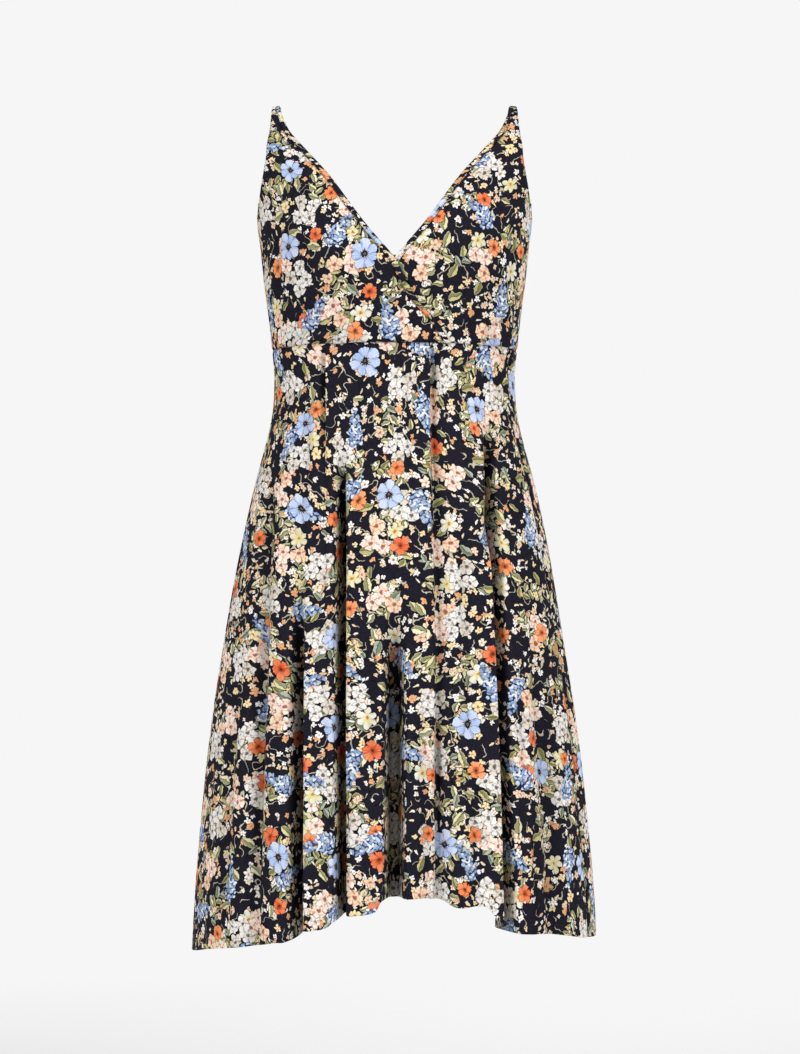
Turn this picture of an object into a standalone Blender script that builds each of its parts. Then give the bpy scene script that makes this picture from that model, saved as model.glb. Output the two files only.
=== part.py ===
"""Sleeveless skater dress with a wrapped V neck, hollow, in the form it has when it is worn.

The cloth is a set of thin closed walls, one for each piece that is cut and sewn on. The dress faces -Y,
+Z is up, and the origin lies midway between the shoulders, where the two straps rest.
Left and right are those of someone who faces the dress: left is -X.
"""

from collections import namedtuple
from math import asin, atan2, ceil, cos, exp, hypot, pi, radians, sin

import bmesh
import bpy
import numpy as np

# Sizes of the cloth
WALL = 0.0016
SEAM_GAP = 0.0003
LAP_CLEARANCE = 0.0008
BINDING_WIDTH = 0.0066
BINDING_WIDTH_AT_TIP = 0.0036
BINDING_TAPER = 0.035
BINDING_GAP = 0.00045
BINDING_COLUMNS = 2
LAP_FADE = 0.030
LAP_EDGE = 0.003
STRAP_WIDTH = 0.0066
STRAP_THICKNESS = 0.0018

# Heights of the seams and edges
TIP_HEIGHT = -0.0015
UNDERARM_HEIGHT = -0.107
WAIST_AT_SIDE = -0.2675
WAIST_AT_FRONT = -0.2635
BACK_NECK_DROP = 0.046

# Side seams, as angles round the body from the middle of the front
LEFT_SEAM = radians(-80.0)
RIGHT_SEAM = radians(68.0)
RIGHT_SEAM_AT_UNDERARM = radians(80.0)
RIGHT_SEAM_BEND = 0.085

# How square the sections are, as a share added to the radius halfway between front and side
BODY_ROUNDING = 0.045
WIDEST_SHARE = 0.995
SOLVE_STEPS = 8

# Fullness over the bust
BUST_LIFT = 0.012
BUST_ASIDE = 0.072
BUST_HEIGHT = -0.150
BUST_SPREAD_ACROSS = 0.045
BUST_SPREAD_UP = 0.050

# Spacing of the wall's points
BODY_ROWS = 9
ARM_ROWS = 8
PANEL_COLUMNS = 11
BACK_COLUMNS = 26
ROW_TOLERANCE = 0.0001
SKIRT_ROWS = 12
SKIRT_SPACING = radians(7.0)
LEAST_SPACING = 0.0011
FOLD_FOOT = -0.900
FOLD_MOUTH = 0.020
FOLD_FULL_WIDTH = -0.500
FOLD_SCALE_AT_WAIST = 0.6
FOLD_OFFSETS = (-2.1, -1.25, -0.8, 0.0, 0.8, 1.25, 2.1)
FOLD_STEEPNESS = 1.8
STEEP_FROM_DEPTH = 0.010
STEEP_TO_DEPTH = 0.024
FOLD_LIP = 0.05
LIP_OFFSET = 2.1
LIP_WIDTH = 0.8
STRAP_STEPS = 22

Section = namedtuple("Section", "height half_width front_depth back_depth")
SECTIONS = [
    Section(0.000, 0.1780, 0.008, 0.012),
    Section(-0.030, 0.1730, 0.044, 0.042),
    Section(-0.060, 0.1650, 0.073, 0.063),
    Section(-0.085, 0.1570, 0.090, 0.075),
    Section(-0.107, 0.1505, 0.100, 0.082),
    Section(-0.125, 0.1512, 0.105, 0.086),
    Section(-0.156, 0.1474, 0.109, 0.090),
    Section(-0.189, 0.1441, 0.108, 0.089),
    Section(-0.222, 0.1397, 0.101, 0.086),
    Section(-0.2655, 0.1348, 0.090, 0.081),
    Section(-0.300, 0.1322, 0.087, 0.081),
    Section(-0.345, 0.1358, 0.091, 0.086),
    Section(-0.420, 0.1550, 0.106, 0.102),
    Section(-0.510, 0.1740, 0.124, 0.120),
    Section(-0.600, 0.1890, 0.140, 0.136),
    Section(-0.690, 0.2020, 0.153, 0.150),
    Section(-0.780, 0.2120, 0.164, 0.161),
    Section(-0.860, 0.2190, 0.171, 0.167),
    Section(-0.930, 0.2228, 0.174, 0.169),
]

EdgePoint = namedtuple("EdgePoint", "height across")
NECK_EDGE = [
    EdgePoint(0.0000, -0.1272),
    EdgePoint(-0.0294, -0.1147),
    EdgePoint(-0.0481, -0.1000),
    EdgePoint(-0.0841, -0.0701),
    EdgePoint(-0.1354, -0.0334),
    EdgePoint(-0.1763, 0.0000),
    EdgePoint(-0.2000, 0.0118),
    EdgePoint(-0.2224, 0.0250),
    EdgePoint(-0.2451, 0.0450),
    EdgePoint(-0.2675, 0.0590),
]
ARMHOLE_EDGE = [
    EdgePoint(0.0000, -0.1346),
    EdgePoint(-0.0272, -0.1364),
    EdgePoint(-0.0446, -0.1392),
    EdgePoint(-0.0613, -0.1405),
    EdgePoint(-0.0777, -0.1434),
    EdgePoint(-0.0930, -0.1467),
    EdgePoint(-0.1070, -0.1492),
]

HemPoint = namedtuple("HemPoint", "share height")
FRONT_HEM = [
    HemPoint(-1.000, -0.9220),
    HemPoint(-0.870, -0.9110),
    HemPoint(-0.680, -0.9020),
    HemPoint(-0.540, -0.8950),
    HemPoint(-0.487, -0.8925),
    HemPoint(-0.462, -0.8825),
    HemPoint(-0.330, -0.8785),
    HemPoint(-0.282, -0.8710),
    HemPoint(-0.262, -0.8655),
    HemPoint(-0.090, -0.8600),
    HemPoint(-0.060, -0.8495),
    HemPoint(0.100, -0.8465),
    HemPoint(0.220, -0.8478),
    HemPoint(0.277, -0.8552),
    HemPoint(0.438, -0.8570),
    HemPoint(0.468, -0.8700),
    HemPoint(0.522, -0.8820),
    HemPoint(0.710, -0.8897),
    HemPoint(0.872, -0.8988),
    HemPoint(1.000, -0.9060),
]
BACK_HEM = [
    HemPoint(-1.00, -0.922),
    HemPoint(-0.80, -0.908),
    HemPoint(-0.50, -0.890),
    HemPoint(0.00, -0.880),
    HemPoint(0.50, -0.887),
    HemPoint(0.80, -0.897),
    HemPoint(1.00, -0.906),
]

# A fold is a trough down the skirt. Its deepest line runs from turn_top at the waist to turn_hem at the hem,
# in degrees round the body from the middle of the front to the right. Its depth changes from depth_top to
# depth_hem between two heights, and left and right are its half-widths towards smaller and larger turns.
Fold = namedtuple("Fold", "turn_top turn_hem left right depth_top depth_hem from_height to_height")
FRONT_FOLDS = [
    Fold(-63.8, -40.6, 0.010, 0.010, 0.000, 0.009, -0.36, -0.55),
    Fold(-45.2, -27.1, 0.007, 0.006, 0.002, 0.036, -0.50, -0.66),
    Fold(-33.0, -18.2, 0.008, 0.002, 0.008, 0.001, -0.30, -0.44),
    Fold(-24.6, -14.9, 0.005, 0.005, 0.000, 0.031, -0.36, -0.48),
    Fold(0.0, 0.0, 0.009, 0.009, 0.000, 0.034, -0.52, -0.65),
    Fold(17.5, 13.0, 0.003, 0.009, 0.009, 0.009, -0.33, -0.50),
    Fold(43.5, 31.8, 0.004, 0.006, 0.001, 0.028, -0.34, -0.46),
    Fold(57.0, 47.0, 0.010, 0.010, 0.000, 0.009, -0.52, -0.70),
]
BACK_FOLDS = [
    Fold(84.0, 84.0, 0.011, 0.011, 0.000, 0.011, -0.46, -0.66),
    Fold(106.0, 107.0, 0.007, 0.008, 0.001, 0.022, -0.38, -0.58),
    Fold(124.0, 132.0, 0.010, 0.008, 0.000, 0.012, -0.40, -0.64),
    Fold(143.0, 151.0, 0.006, 0.007, 0.000, 0.024, -0.50, -0.66),
    Fold(160.0, 164.5, 0.009, 0.003, 0.008, 0.028, -0.36, -0.58),
    Fold(175.0, 176.4, 0.009, 0.009, 0.000, 0.010, -0.56, -0.74),
    Fold(190.6, 188.3, 0.006, 0.006, 0.000, 0.033, -0.42, -0.60),
    Fold(204.0, 200.0, 0.003, 0.009, 0.008, 0.010, -0.30, -0.60),
    Fold(218.0, 211.5, 0.007, 0.006, 0.001, 0.028, -0.34, -0.52),
    Fold(237.0, 227.0, 0.010, 0.010, 0.000, 0.012, -0.45, -0.66),
    Fold(254.0, 250.0, 0.007, 0.008, 0.000, 0.019, -0.42, -0.62),
    Fold(270.0, 269.0, 0.011, 0.011, 0.000, 0.010, -0.50, -0.70),
]

# Lean is the part of the strap's normal that points back.
StrapPoint = namedtuple("StrapPoint", "across depth height lean")
STRAP_OVER_SHOULDER = [
    StrapPoint(0.1307, -0.0035, 0.0012, -0.30),
    StrapPoint(0.1303, 0.0008, 0.0020, 0.05),
    StrapPoint(0.1296, 0.0055, 0.0010, 0.35),
    StrapPoint(0.1288, 0.0115, -0.0042, 0.55),
]
STRAP_BACK_HEIGHTS = (-0.0180, -0.0380, -0.0620, -0.0900)
STRAP_AT_BACK = 0.104
STRAP_AT_SHOULDER = 0.1280
STRAP_TIP_NORMAL = (-0.15, -0.75, 0.65)
STRAP_SIDE_LEAN = -0.1

FRONT_COLOUR = (0.030, 0.028, 0.040, 1.0)
BACK_COLOUR = (0.027, 0.026, 0.038, 1.0)
SKIRT_COLOUR = (0.033, 0.031, 0.043, 1.0)
TRIM_COLOUR = (0.024, 0.022, 0.033, 1.0)
CLOTH_ROUGHNESS = 0.62
SMOOTH_ANGLE = radians(50.0)


def smoothstep(low, high, value):
    """Rises smoothly from 0 at low to 1 at high."""
    share = min(1.0, max(0.0, (value - low) / (high - low)))
    return share * share * (3.0 - 2.0 * share)


def read_table(rows, key, column, at):
    """A column of a table at one value of its key, on a smooth curve through the rows."""
    keys = [getattr(row, key) for row in rows]
    values = [getattr(row, column) for row in rows]
    if keys[0] > keys[-1]:
        keys.reverse()
        values.reverse()
    at = min(keys[-1], max(keys[0], at))
    index = max(i for i in range(len(keys) - 1) if keys[i] <= at)

    def slope(i):
        before = max(0, i - 1)
        after = min(len(keys) - 1, i + 1)
        return (values[after] - values[before]) / (keys[after] - keys[before])

    span = keys[index + 1] - keys[index]
    s = (at - keys[index]) / span
    start = (1.0 + 2.0 * s) * (1.0 - s) ** 2 * values[index]
    end = s * s * (3.0 - 2.0 * s) * values[index + 1]
    lean_out = s * (1.0 - s) ** 2 * span * slope(index)
    lean_in = s * s * (s - 1.0) * span * slope(index + 1)
    return start + end + lean_out + lean_in


def rounding(angle):
    """Share by which a section is fuller than an ellipse."""
    return 1.0 + BODY_ROUNDING * sin(2.0 * angle) ** 2


def section_depth(angle, height):
    """Half-depth of the section, before or behind the sides."""
    column = "front_depth" if cos(angle) > 0.0 else "back_depth"
    return read_table(SECTIONS, "height", column, height)


def body_point(angle, height):
    """Point of the garment's smooth outer surface."""
    half_width = read_table(SECTIONS, "height", "half_width", height)
    fullness = rounding(angle)
    x = half_width * sin(angle) * fullness
    y = -section_depth(angle, height) * cos(angle) * fullness
    if cos(angle) > 0.0:
        up = ((height - BUST_HEIGHT) / BUST_SPREAD_UP) ** 2
        for side in (-1.0, 1.0):
            across = ((x - side * BUST_ASIDE) / BUST_SPREAD_ACROSS) ** 2
            y -= BUST_LIFT * cos(angle) * exp(-across - up)
    return np.array((x, y, height))


def outward(angle, height):
    """Level unit vector that points out of the section."""
    half_width = read_table(SECTIONS, "height", "half_width", height)
    x = sin(angle) / half_width
    y = -cos(angle) / section_depth(angle, height)
    return np.array((x, y, 0.0)) / hypot(x, y)


def angle_at(across, height):
    """Angle on the front half whose point lies this far across."""
    half_width = read_table(SECTIONS, "height", "half_width", height)
    angle = 0.0
    for _ in range(SOLVE_STEPS):
        share = across / (half_width * rounding(angle))
        angle = asin(max(-WIDEST_SHARE, min(WIDEST_SHARE, share)))
    return angle


def waist_height(angle):
    """Height of the waist seam."""
    rise = WAIST_AT_FRONT - WAIST_AT_SIDE
    return WAIST_AT_SIDE + rise * max(0.0, cos(angle)) ** 2


def hem_height(angle):
    """Height of the hem, lowest at the sides."""
    table = FRONT_HEM if cos(angle) > 0.0 else BACK_HEM
    return read_table(table, "share", "height", sin(angle))


def right_seam(height):
    """Angle of the right side seam of the bodice."""
    bend = smoothstep(UNDERARM_HEIGHT - RIGHT_SEAM_BEND, UNDERARM_HEIGHT, height)
    return RIGHT_SEAM + (RIGHT_SEAM_AT_UNDERARM - RIGHT_SEAM) * bend


def binding_width(height):
    """Level width of the neck binding, which narrows to the shoulder."""
    share = smoothstep(TIP_HEIGHT - BINDING_TAPER, TIP_HEIGHT, height)
    return BINDING_WIDTH + (BINDING_WIDTH_AT_TIP - BINDING_WIDTH) * share


def neck_across(height):
    """Free edge of the left front panel."""
    return read_table(NECK_EDGE, "height", "across", height)


def side_edge(side, height):
    """Outer edge of a front panel: the armhole, and below the underarm the side seam."""
    if height > UNDERARM_HEIGHT + ROW_TOLERANCE:
        return angle_at(-side * read_table(ARMHOLE_EDGE, "height", "across", height), height)
    seam = LEFT_SEAM if side < 0.0 else right_seam(height)
    return seam - side * 0.5 * SEAM_GAP / ring_speed(seam, height)


def lap_lift(side, across, height):
    """How far the left panel lies out over the right one."""
    if side > 0.0:
        return 0.0
    under_edge = -neck_across(height)
    share = smoothstep(under_edge - LAP_FADE, under_edge - LAP_EDGE, across)
    return (WALL + LAP_CLEARANCE) * share


def bodice_height(angle, share, top_drop):
    """Height of a row of the bodice from the waist seam (0) to the level of the underarm (1)."""
    level = WAIST_AT_SIDE + (UNDERARM_HEIGHT - WAIST_AT_SIDE) * share
    seam_rise = (waist_height(angle) + 0.5 * SEAM_GAP - WAIST_AT_SIDE) * (1.0 - share) ** 2
    return level + seam_rise - top_drop * share ** 2


def front_rows(side, first_edge, last_edge, columns):
    """Rows of points on a front panel, from the waist seam up to the shoulder.

    The two functions give the first and last column of a row as angles.
    """
    places = [(step / BODY_ROWS, 0.0) for step in range(BODY_ROWS + 1)]
    places += [(1.0, step / ARM_ROWS) for step in range(1, ARM_ROWS + 1)]
    grid = []
    for share, rise in places:
        above_underarm = (TIP_HEIGHT - UNDERARM_HEIGHT) * rise
        level = bodice_height(pi / 2.0, share, 0.0) + above_underarm
        first = first_edge(level)
        last = last_edge(level)
        row = []
        for column in range(columns + 1):
            angle = first + (last - first) * column / columns
            height = bodice_height(angle, share, 0.0) + above_underarm
            point = body_point(angle, height)
            point = point + outward(angle, height) * lap_lift(side, point[0], height)
            row.append(point)
        grid.append(row)
    return np.array(grid)


def front_panel(side):
    """Front of the bodice on one side, from the side seam and armhole to the neck binding."""

    def inner_edge(height):
        edge = neck_across(height) - binding_width(height) - BINDING_GAP
        return angle_at(-side * edge, height)

    return front_rows(side, lambda height: side_edge(side, height), inner_edge, PANEL_COLUMNS)


def neck_binding(side):
    """Narrow strip along the free edge of a front panel."""

    def seam_edge(height):
        return angle_at(-side * (neck_across(height) - binding_width(height)), height)

    def free_edge(height):
        return angle_at(-side * neck_across(height), height)

    return front_rows(side, seam_edge, free_edge, BINDING_COLUMNS)


def back_drop(angle):
    """How far the back's top edge dips below the underarm."""
    return BACK_NECK_DROP * max(0.0, -cos(angle)) ** 2


def back_panel():
    """Back of the bodice, from the right side seam round to the left one."""
    grid = []
    for step in range(BODY_ROWS + 1):
        share = step / BODY_ROWS
        level = bodice_height(pi / 2.0, share, 0.0)
        half_gap = 0.5 * SEAM_GAP / ring_speed(LEFT_SEAM, level)
        first = right_seam(level) + half_gap
        last = 2.0 * pi + LEFT_SEAM - half_gap
        row = []
        for column in range(BACK_COLUMNS + 1):
            angle = first + (last - first) * column / BACK_COLUMNS
            row.append(body_point(angle, bodice_height(angle, share, back_drop(angle))))
        grid.append(row)
    return np.array(grid)


def fold_angle(fold, height):
    """Angle of a fold's deepest line at one height, so that folds hang nearly straight down."""
    waist, here, foot = (1.0 / read_table(SECTIONS, "height", "half_width", level)
                         for level in (WAIST_AT_SIDE, height, FOLD_FOOT))
    return radians(fold.turn_hem + (fold.turn_top - fold.turn_hem) * (here - foot) / (waist - foot))


def fold_scale(height):
    """Folds are narrower near the waist."""
    return 1.0 + (FOLD_SCALE_AT_WAIST - 1.0) * smoothstep(FOLD_FULL_WIDTH, WAIST_AT_SIDE, height)


def fold_depth(fold, height, top):
    """Depth of a fold at one height, none at the waist seam itself."""
    share = smoothstep(-fold.from_height, -fold.to_height, -height)
    depth = fold.depth_top + (fold.depth_hem - fold.depth_top) * share
    return depth * smoothstep(0.0, FOLD_MOUTH, top - height)


def ring_speed(angle, height):
    """Length along the section for each radian."""
    half_width = read_table(SECTIONS, "height", "half_width", height)
    return hypot(half_width * cos(angle), section_depth(angle, height) * sin(angle))


def skirt_height(angle, share):
    """Height of a row of the skirt, from the waist seam (0) to the hem (1)."""
    top = waist_height(angle) - 0.5 * SEAM_GAP
    return top + (hem_height(angle) - top) * share


def fold_push(depth, offset):
    """How far a fold pushes in at an offset, in half-widths. Deep folds have steep walls and rounded lips."""
    steepness = 2.0 + FOLD_STEEPNESS * smoothstep(STEEP_FROM_DEPTH, STEEP_TO_DEPTH, depth)
    trough = exp(-(abs(offset) ** steepness))
    lip = exp(-(((abs(offset) - LIP_OFFSET) / LIP_WIDTH) ** 2))
    return depth * (trough - FOLD_LIP * lip)


def skirt_point(angle, share, folds):
    """Point of the skirt's outer surface, with its folds pushed in."""
    height = skirt_height(angle, share)
    push = 0.0
    for fold in folds:
        aside = (angle - fold_angle(fold, height)) * ring_speed(angle, height)
        width = (fold.left if aside < 0.0 else fold.right) * fold_scale(height)
        push += fold_push(fold_depth(fold, height, waist_height(angle)), aside / width)
    return body_point(angle, height) - outward(angle, height) * push


def fold_columns(fold, share):
    """Angles that follow a fold across its width in one row."""
    angles = []
    for offset in FOLD_OFFSETS:
        angle = radians(fold.turn_hem)
        for _ in range(SOLVE_STEPS):
            height = skirt_height(angle, share)
            width = (fold.left if offset < 0.0 else fold.right) * fold_scale(height)
            angle = fold_angle(fold, height) + offset * width / ring_speed(angle, height)
        angles.append(angle)
    return angles


def skirt_grid(first, last, folds):
    """Rows of points on one part of the skirt, from the waist seam down to the hem."""
    fill = ceil((last - first) / SKIRT_SPACING)
    grid = []
    for step in range(SKIRT_ROWS + 1):
        share = step / SKIRT_ROWS
        angles = [first + (last - first) * column / fill for column in range(1, fill)]
        for fold in folds:
            angles += fold_columns(fold, share)
        angles = [first] + sorted(angles) + [last]
        least = LEAST_SPACING / ring_speed(pi / 4.0, skirt_height(pi / 4.0, share))
        for column in range(1, len(angles)):
            angles[column] = max(angles[column], angles[column - 1] + least)
        angles[-1] = last
        for column in range(len(angles) - 2, 0, -1):
            angles[column] = min(angles[column], angles[column + 1] - least)
        grid.append([skirt_point(angle, share, folds) for angle in angles])
    return np.array(grid)


def unit(vectors):
    """Vectors brought to length 1."""
    return vectors / np.linalg.norm(vectors, axis=-1, keepdims=True)


def surface_normals(grid):
    """Normals of a grid of points, facing away from the body's middle line."""
    down = np.gradient(grid, axis=0)
    along = np.gradient(grid, axis=1)
    normals = unit(np.cross(down, along))
    if np.sum(grid[..., :2] * normals[..., :2]) < 0.0:
        normals = -normals
    return normals


def add_solid(name, outer, inner, colour):
    """Closed wall between two grids of points, with its four edges."""
    rows, columns = outer.shape[:2]
    mesh = bmesh.new()
    skins = []
    for grid in (outer, inner):
        skins.append([[mesh.verts.new(point) for point in row] for row in grid])
    for skin in skins:
        for row in range(rows - 1):
            for column in range(columns - 1):
                corners = (skin[row][column], skin[row][column + 1],
                           skin[row + 1][column + 1], skin[row + 1][column])
                mesh.faces.new(corners)
    rim = [(0, column) for column in range(columns)]
    rim += [(row, columns - 1) for row in range(1, rows)]
    rim += [(rows - 1, column) for column in range(columns - 2, -1, -1)]
    rim += [(row, 0) for row in range(rows - 2, 0, -1)]
    for here, there in zip(rim, rim[1:] + rim[:1]):
        corners = (skins[0][here[0]][here[1]], skins[0][there[0]][there[1]],
                   skins[1][there[0]][there[1]], skins[1][here[0]][here[1]])
        mesh.faces.new(corners)
    bmesh.ops.recalc_face_normals(mesh, faces=mesh.faces)
    data = bpy.data.meshes.new(name)
    mesh.to_mesh(data)
    mesh.free()
    data.shade_smooth()
    data.set_sharp_from_angle(angle=SMOOTH_ANGLE)
    data.materials.append(cloth_material(name + "_cloth", colour))
    piece = bpy.data.objects.new(name, data)
    bpy.context.scene.collection.objects.link(piece)


def cloth_material(name, colour):
    """Matt woven cloth in the print's dark ground colour."""
    material = bpy.data.materials.new(name)
    material.use_nodes = True
    shader = material.node_tree.nodes["Principled BSDF"]
    shader.inputs["Base Color"].default_value = colour
    shader.inputs["Roughness"].default_value = CLOTH_ROUGHNESS
    shader.inputs["Metallic"].default_value = 0.0
    return material


def inner_face(grid):
    """Inner surface of the wall whose outer surface is the grid."""
    return grid - surface_normals(grid) * WALL


def add_cloth(name, grid, colour):
    """Wall of cloth whose outer surface is the grid."""
    add_solid(name, grid, inner_face(grid), colour)


def strap_path(side):
    """Middle line of a strap's outer face and its normals, from the front tip to the back's top edge."""
    tip_across = 0.5 * (neck_across(TIP_HEIGHT) + ARMHOLE_EDGE[0].across)
    tip_angle = angle_at(tip_across, TIP_HEIGHT)
    start = body_point(tip_angle, TIP_HEIGHT)
    start[2] += SEAM_GAP
    points = [start]
    normals = [np.array(STRAP_TIP_NORMAL)]
    for place in STRAP_OVER_SHOULDER:
        points.append(np.array((-place.across, place.depth, place.height)))
        normals.append(np.array((STRAP_SIDE_LEAN, place.lean, 1.0 - abs(place.lean))))
    end_angle = pi - angle_at(-STRAP_AT_BACK, UNDERARM_HEIGHT)
    end_height = UNDERARM_HEIGHT - back_drop(end_angle) + SEAM_GAP
    for height in STRAP_BACK_HEIGHTS + (end_height,):
        share = (height - STRAP_BACK_HEIGHTS[0]) / (end_height - STRAP_BACK_HEIGHTS[0])
        across = STRAP_AT_SHOULDER + (STRAP_AT_BACK - STRAP_AT_SHOULDER) * share
        angle = pi - angle_at(-across, height)
        points.append(body_point(angle, height))
        normals.append(outward(angle, height))
    points = np.array(points)
    normals = unit(np.array(normals))
    if side > 0.0:
        points[:, 0] *= -1.0
        normals[:, 0] *= -1.0
    return smooth_path(points, STRAP_STEPS), unit(smooth_path(normals, STRAP_STEPS))


def smooth_path(points, steps):
    """Points evenly spaced by number on a smooth curve through the given ones."""
    ends = np.vstack([2.0 * points[0] - points[1], points, 2.0 * points[-1] - points[-2]])
    curve = []
    for step in range(steps + 1):
        place = step / steps * (len(points) - 1)
        index = min(len(points) - 2, int(place))
        s = place - index
        before, start, end, after = ends[index:index + 4]
        curve.append(0.5 * (2.0 * start + (end - before) * s
                            + (2.0 * before - 5.0 * start + 4.0 * end - after) * s * s
                            + (3.0 * start - before - 3.0 * end + after) * s ** 3))
    return np.array(curve)


def add_strap(name, side, panel, binding):
    """Flat strap from the tip of a front panel over the shoulder to the back's top edge."""
    path, normals = strap_path(side)
    tangents = unit(np.gradient(path, axis=0))
    across = unit(np.cross(tangents, normals))
    normals = unit(np.cross(across, tangents))
    half = 0.5 * STRAP_WIDTH
    outer = np.stack([path - across * half, path + across * half], axis=1)
    inner = outer - normals[:, None, :] * STRAP_THICKNESS
    for strap_face, panel_face, binding_face in (
            (outer, panel, binding), (inner, inner_face(panel), inner_face(binding))):
        tip = [panel_face[-1][0], binding_face[-1][-1]]
        if side > 0.0:
            tip.reverse()
        strap_face[0] = np.array(tip) + (0.0, 0.0, SEAM_GAP)
    for corner in (*outer[-1], *inner[-1]):
        corner[2] = UNDERARM_HEIGHT - back_drop(atan2(corner[0], -corner[1])) + SEAM_GAP
    add_solid(name, outer, inner, TRIM_COLOUR)


def build():
    """Removes what is in the scene and adds the dress."""
    for item in list(bpy.data.objects):
        bpy.data.objects.remove(item)
    for side, word in ((-1.0, "left"), (1.0, "right")):
        panel = front_panel(side)
        binding = neck_binding(side)
        add_cloth("front_" + word, panel, FRONT_COLOUR)
        add_cloth("neck_binding_" + word, binding, TRIM_COLOUR)
        add_strap("strap_" + word, side, panel, binding)
    add_cloth("back", back_panel(), BACK_COLOUR)
    half_gap = 0.5 * SEAM_GAP / ring_speed(pi / 2.0, WAIST_AT_SIDE)
    front = skirt_grid(LEFT_SEAM + half_gap, RIGHT_SEAM - half_gap, FRONT_FOLDS)
    add_cloth("skirt_front", front, SKIRT_COLOUR)
    back = skirt_grid(RIGHT_SEAM + half_gap, 2.0 * pi + LEFT_SEAM - half_gap, BACK_FOLDS)
    add_cloth("skirt_back", back, SKIRT_COLOUR)


build()
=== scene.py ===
"""Looks of a sleeveless skater dress with a wrapped V neck, built round its CAD frame.

The dress faces -Y, +Z is up, and the origin lies midway between the shoulders. All sizes are metres,
apart from those of the print, which are millimetres on the flat cloth.
"""

from math import pi, radians

import bpy
import numpy as np
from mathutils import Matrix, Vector


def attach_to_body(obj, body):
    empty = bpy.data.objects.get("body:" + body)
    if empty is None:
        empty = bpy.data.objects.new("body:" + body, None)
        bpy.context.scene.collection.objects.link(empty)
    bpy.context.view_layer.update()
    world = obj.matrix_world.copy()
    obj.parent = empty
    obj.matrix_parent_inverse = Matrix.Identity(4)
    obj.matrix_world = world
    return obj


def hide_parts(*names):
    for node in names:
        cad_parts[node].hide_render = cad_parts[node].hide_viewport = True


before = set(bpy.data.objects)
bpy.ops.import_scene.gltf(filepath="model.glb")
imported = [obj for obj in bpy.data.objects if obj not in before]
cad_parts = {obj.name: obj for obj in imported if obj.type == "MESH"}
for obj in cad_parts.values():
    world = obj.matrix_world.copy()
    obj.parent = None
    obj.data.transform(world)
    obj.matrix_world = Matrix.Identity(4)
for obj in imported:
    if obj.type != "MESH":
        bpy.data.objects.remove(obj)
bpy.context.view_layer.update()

# Camera, as in the photograph's frame
VIEW_HEIGHT = -0.461
VIEW_ASIDE = 0.0059
VIEW_DISTANCE = 3.0
FRAME_HEIGHT = 1.1594
SENSOR = 24.0

# Floor and light. Columns of the lamps: name, place, size and power
FLOOR_RADIUS = 2.6
FLOOR_HEIGHT = -1.32
FLOOR_CORNERS = 96
FLOOR_FADES_FROM = 0.9
FLOOR_FADES_TO = 2.4
SKY_STRENGTH = 0.31
LAMP_TARGET = (0.0, 0.0, -0.45)
LAMPS = [
    ("key", (2.3, -2.3, 0.7), 1.7, 71.0),
    ("fill", (-2.3, -2.2, 0.3), 1.7, 54.0),
    ("top", (0.1, -0.6, 1.7), 1.2, 10.0),
    ("behind", (0.4, 2.6, 0.4), 1.6, 30.0),
]

# Sizes of the cloth
CLOTH = 0.0006
HEM_THICKNESS = 0.0013
HEM_DEPTH = 0.011
HEM_STEP = 0.0012
HEM_STITCHING = 0.0095
EDGE_STITCHING = 0.0045
EDGE_ROUNDING = 0.45
SEAM_DIP = 0.0012
SEAM_REACH = 0.0035
WALL = 0.0016
LAP_CLEARANCE = 0.0008
LAP_FADE = 0.030
LAP_EDGE = 0.003
BINDING_WIDTH = 0.0066
BINDING_WIDTH_AT_TIP = 0.0036
BINDING_TAPER = 0.035
BINDING_CROWN = 0.0006
STRAP_WIDTH = 0.0066
STRAP_THICKNESS = 0.0018
STRAP_CROWN = 0.0003
STITCH_LENGTH = 0.0024
STITCH_PITCH = 0.0034
STITCH_WIDTH = 0.0004
STITCH_LIFT = 0.00015
THREAD_TWIST = 0.0006

# Heights of the seams and edges
TIP_HEIGHT = -0.0015
UNDERARM_HEIGHT = -0.107
WAIST_AT_SIDE = -0.2675
WAIST_AT_FRONT = -0.2635
BACK_NECK_DROP = 0.046

# Side seams, as angles round the body from the middle of the front
LEFT_SEAM = radians(-80.0)
RIGHT_SEAM = radians(68.0)
RIGHT_SEAM_AT_UNDERARM = radians(80.0)
RIGHT_SEAM_BEND = 0.085

# Form of the body under the cloth
BODY_ROUNDING = 0.045
BUST_LIFT = 0.012
BUST_ASIDE = 0.072
BUST_HEIGHT = -0.150
BUST_SPREAD_ACROSS = 0.045
BUST_SPREAD_UP = 0.050

# Folds of the skirt: heights where they end and are full, and the form of their sides and lips
FOLD_FOOT = -0.900
FOLD_MOUTH = 0.020
FOLD_FULL_WIDTH = -0.500
FOLD_SCALE_AT_WAIST = 0.6
FOLD_STEEPNESS = 1.8
STEEP_FROM_DEPTH = 0.010
STEEP_TO_DEPTH = 0.024
FOLD_LIP = 0.05
LIP_OFFSET = 2.1
LIP_WIDTH = 0.8

# Painted shade: depths at which the painted shade of a fold and a crease is darkest, and how much painted
# shade a seam gets
SHADED_FOLD = 0.026
SHADED_CREASE = 0.011
SEAM_SHADE = 0.5

# Spacing of the points
SKIRT_ROWS = 170
FRONT_COLUMNS = 250
BACK_COLUMNS = 270
BODY_ROWS = 64
ARM_ROWS = 56
PANEL_COLUMNS = 80
BACK_PANEL_COLUMNS = 170
BINDING_COLUMNS = 6
STRAP_STEPS = 120
STRAP_COLUMNS = 6
FLAT_ROWS = 90
FLAT_COLUMNS = 1500
SPACING_STEPS = 1600
HEIGHT_MARGIN = 0.0001
ANGLE_MARGIN = 0.01

# How much closer together the points are at a fold
FOLD_CROWDING = 5.0
LEAST_CROWDING = 0.15
CROWDED_DEPTH = 0.020
CROWDING_REACH = 1.7

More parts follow.
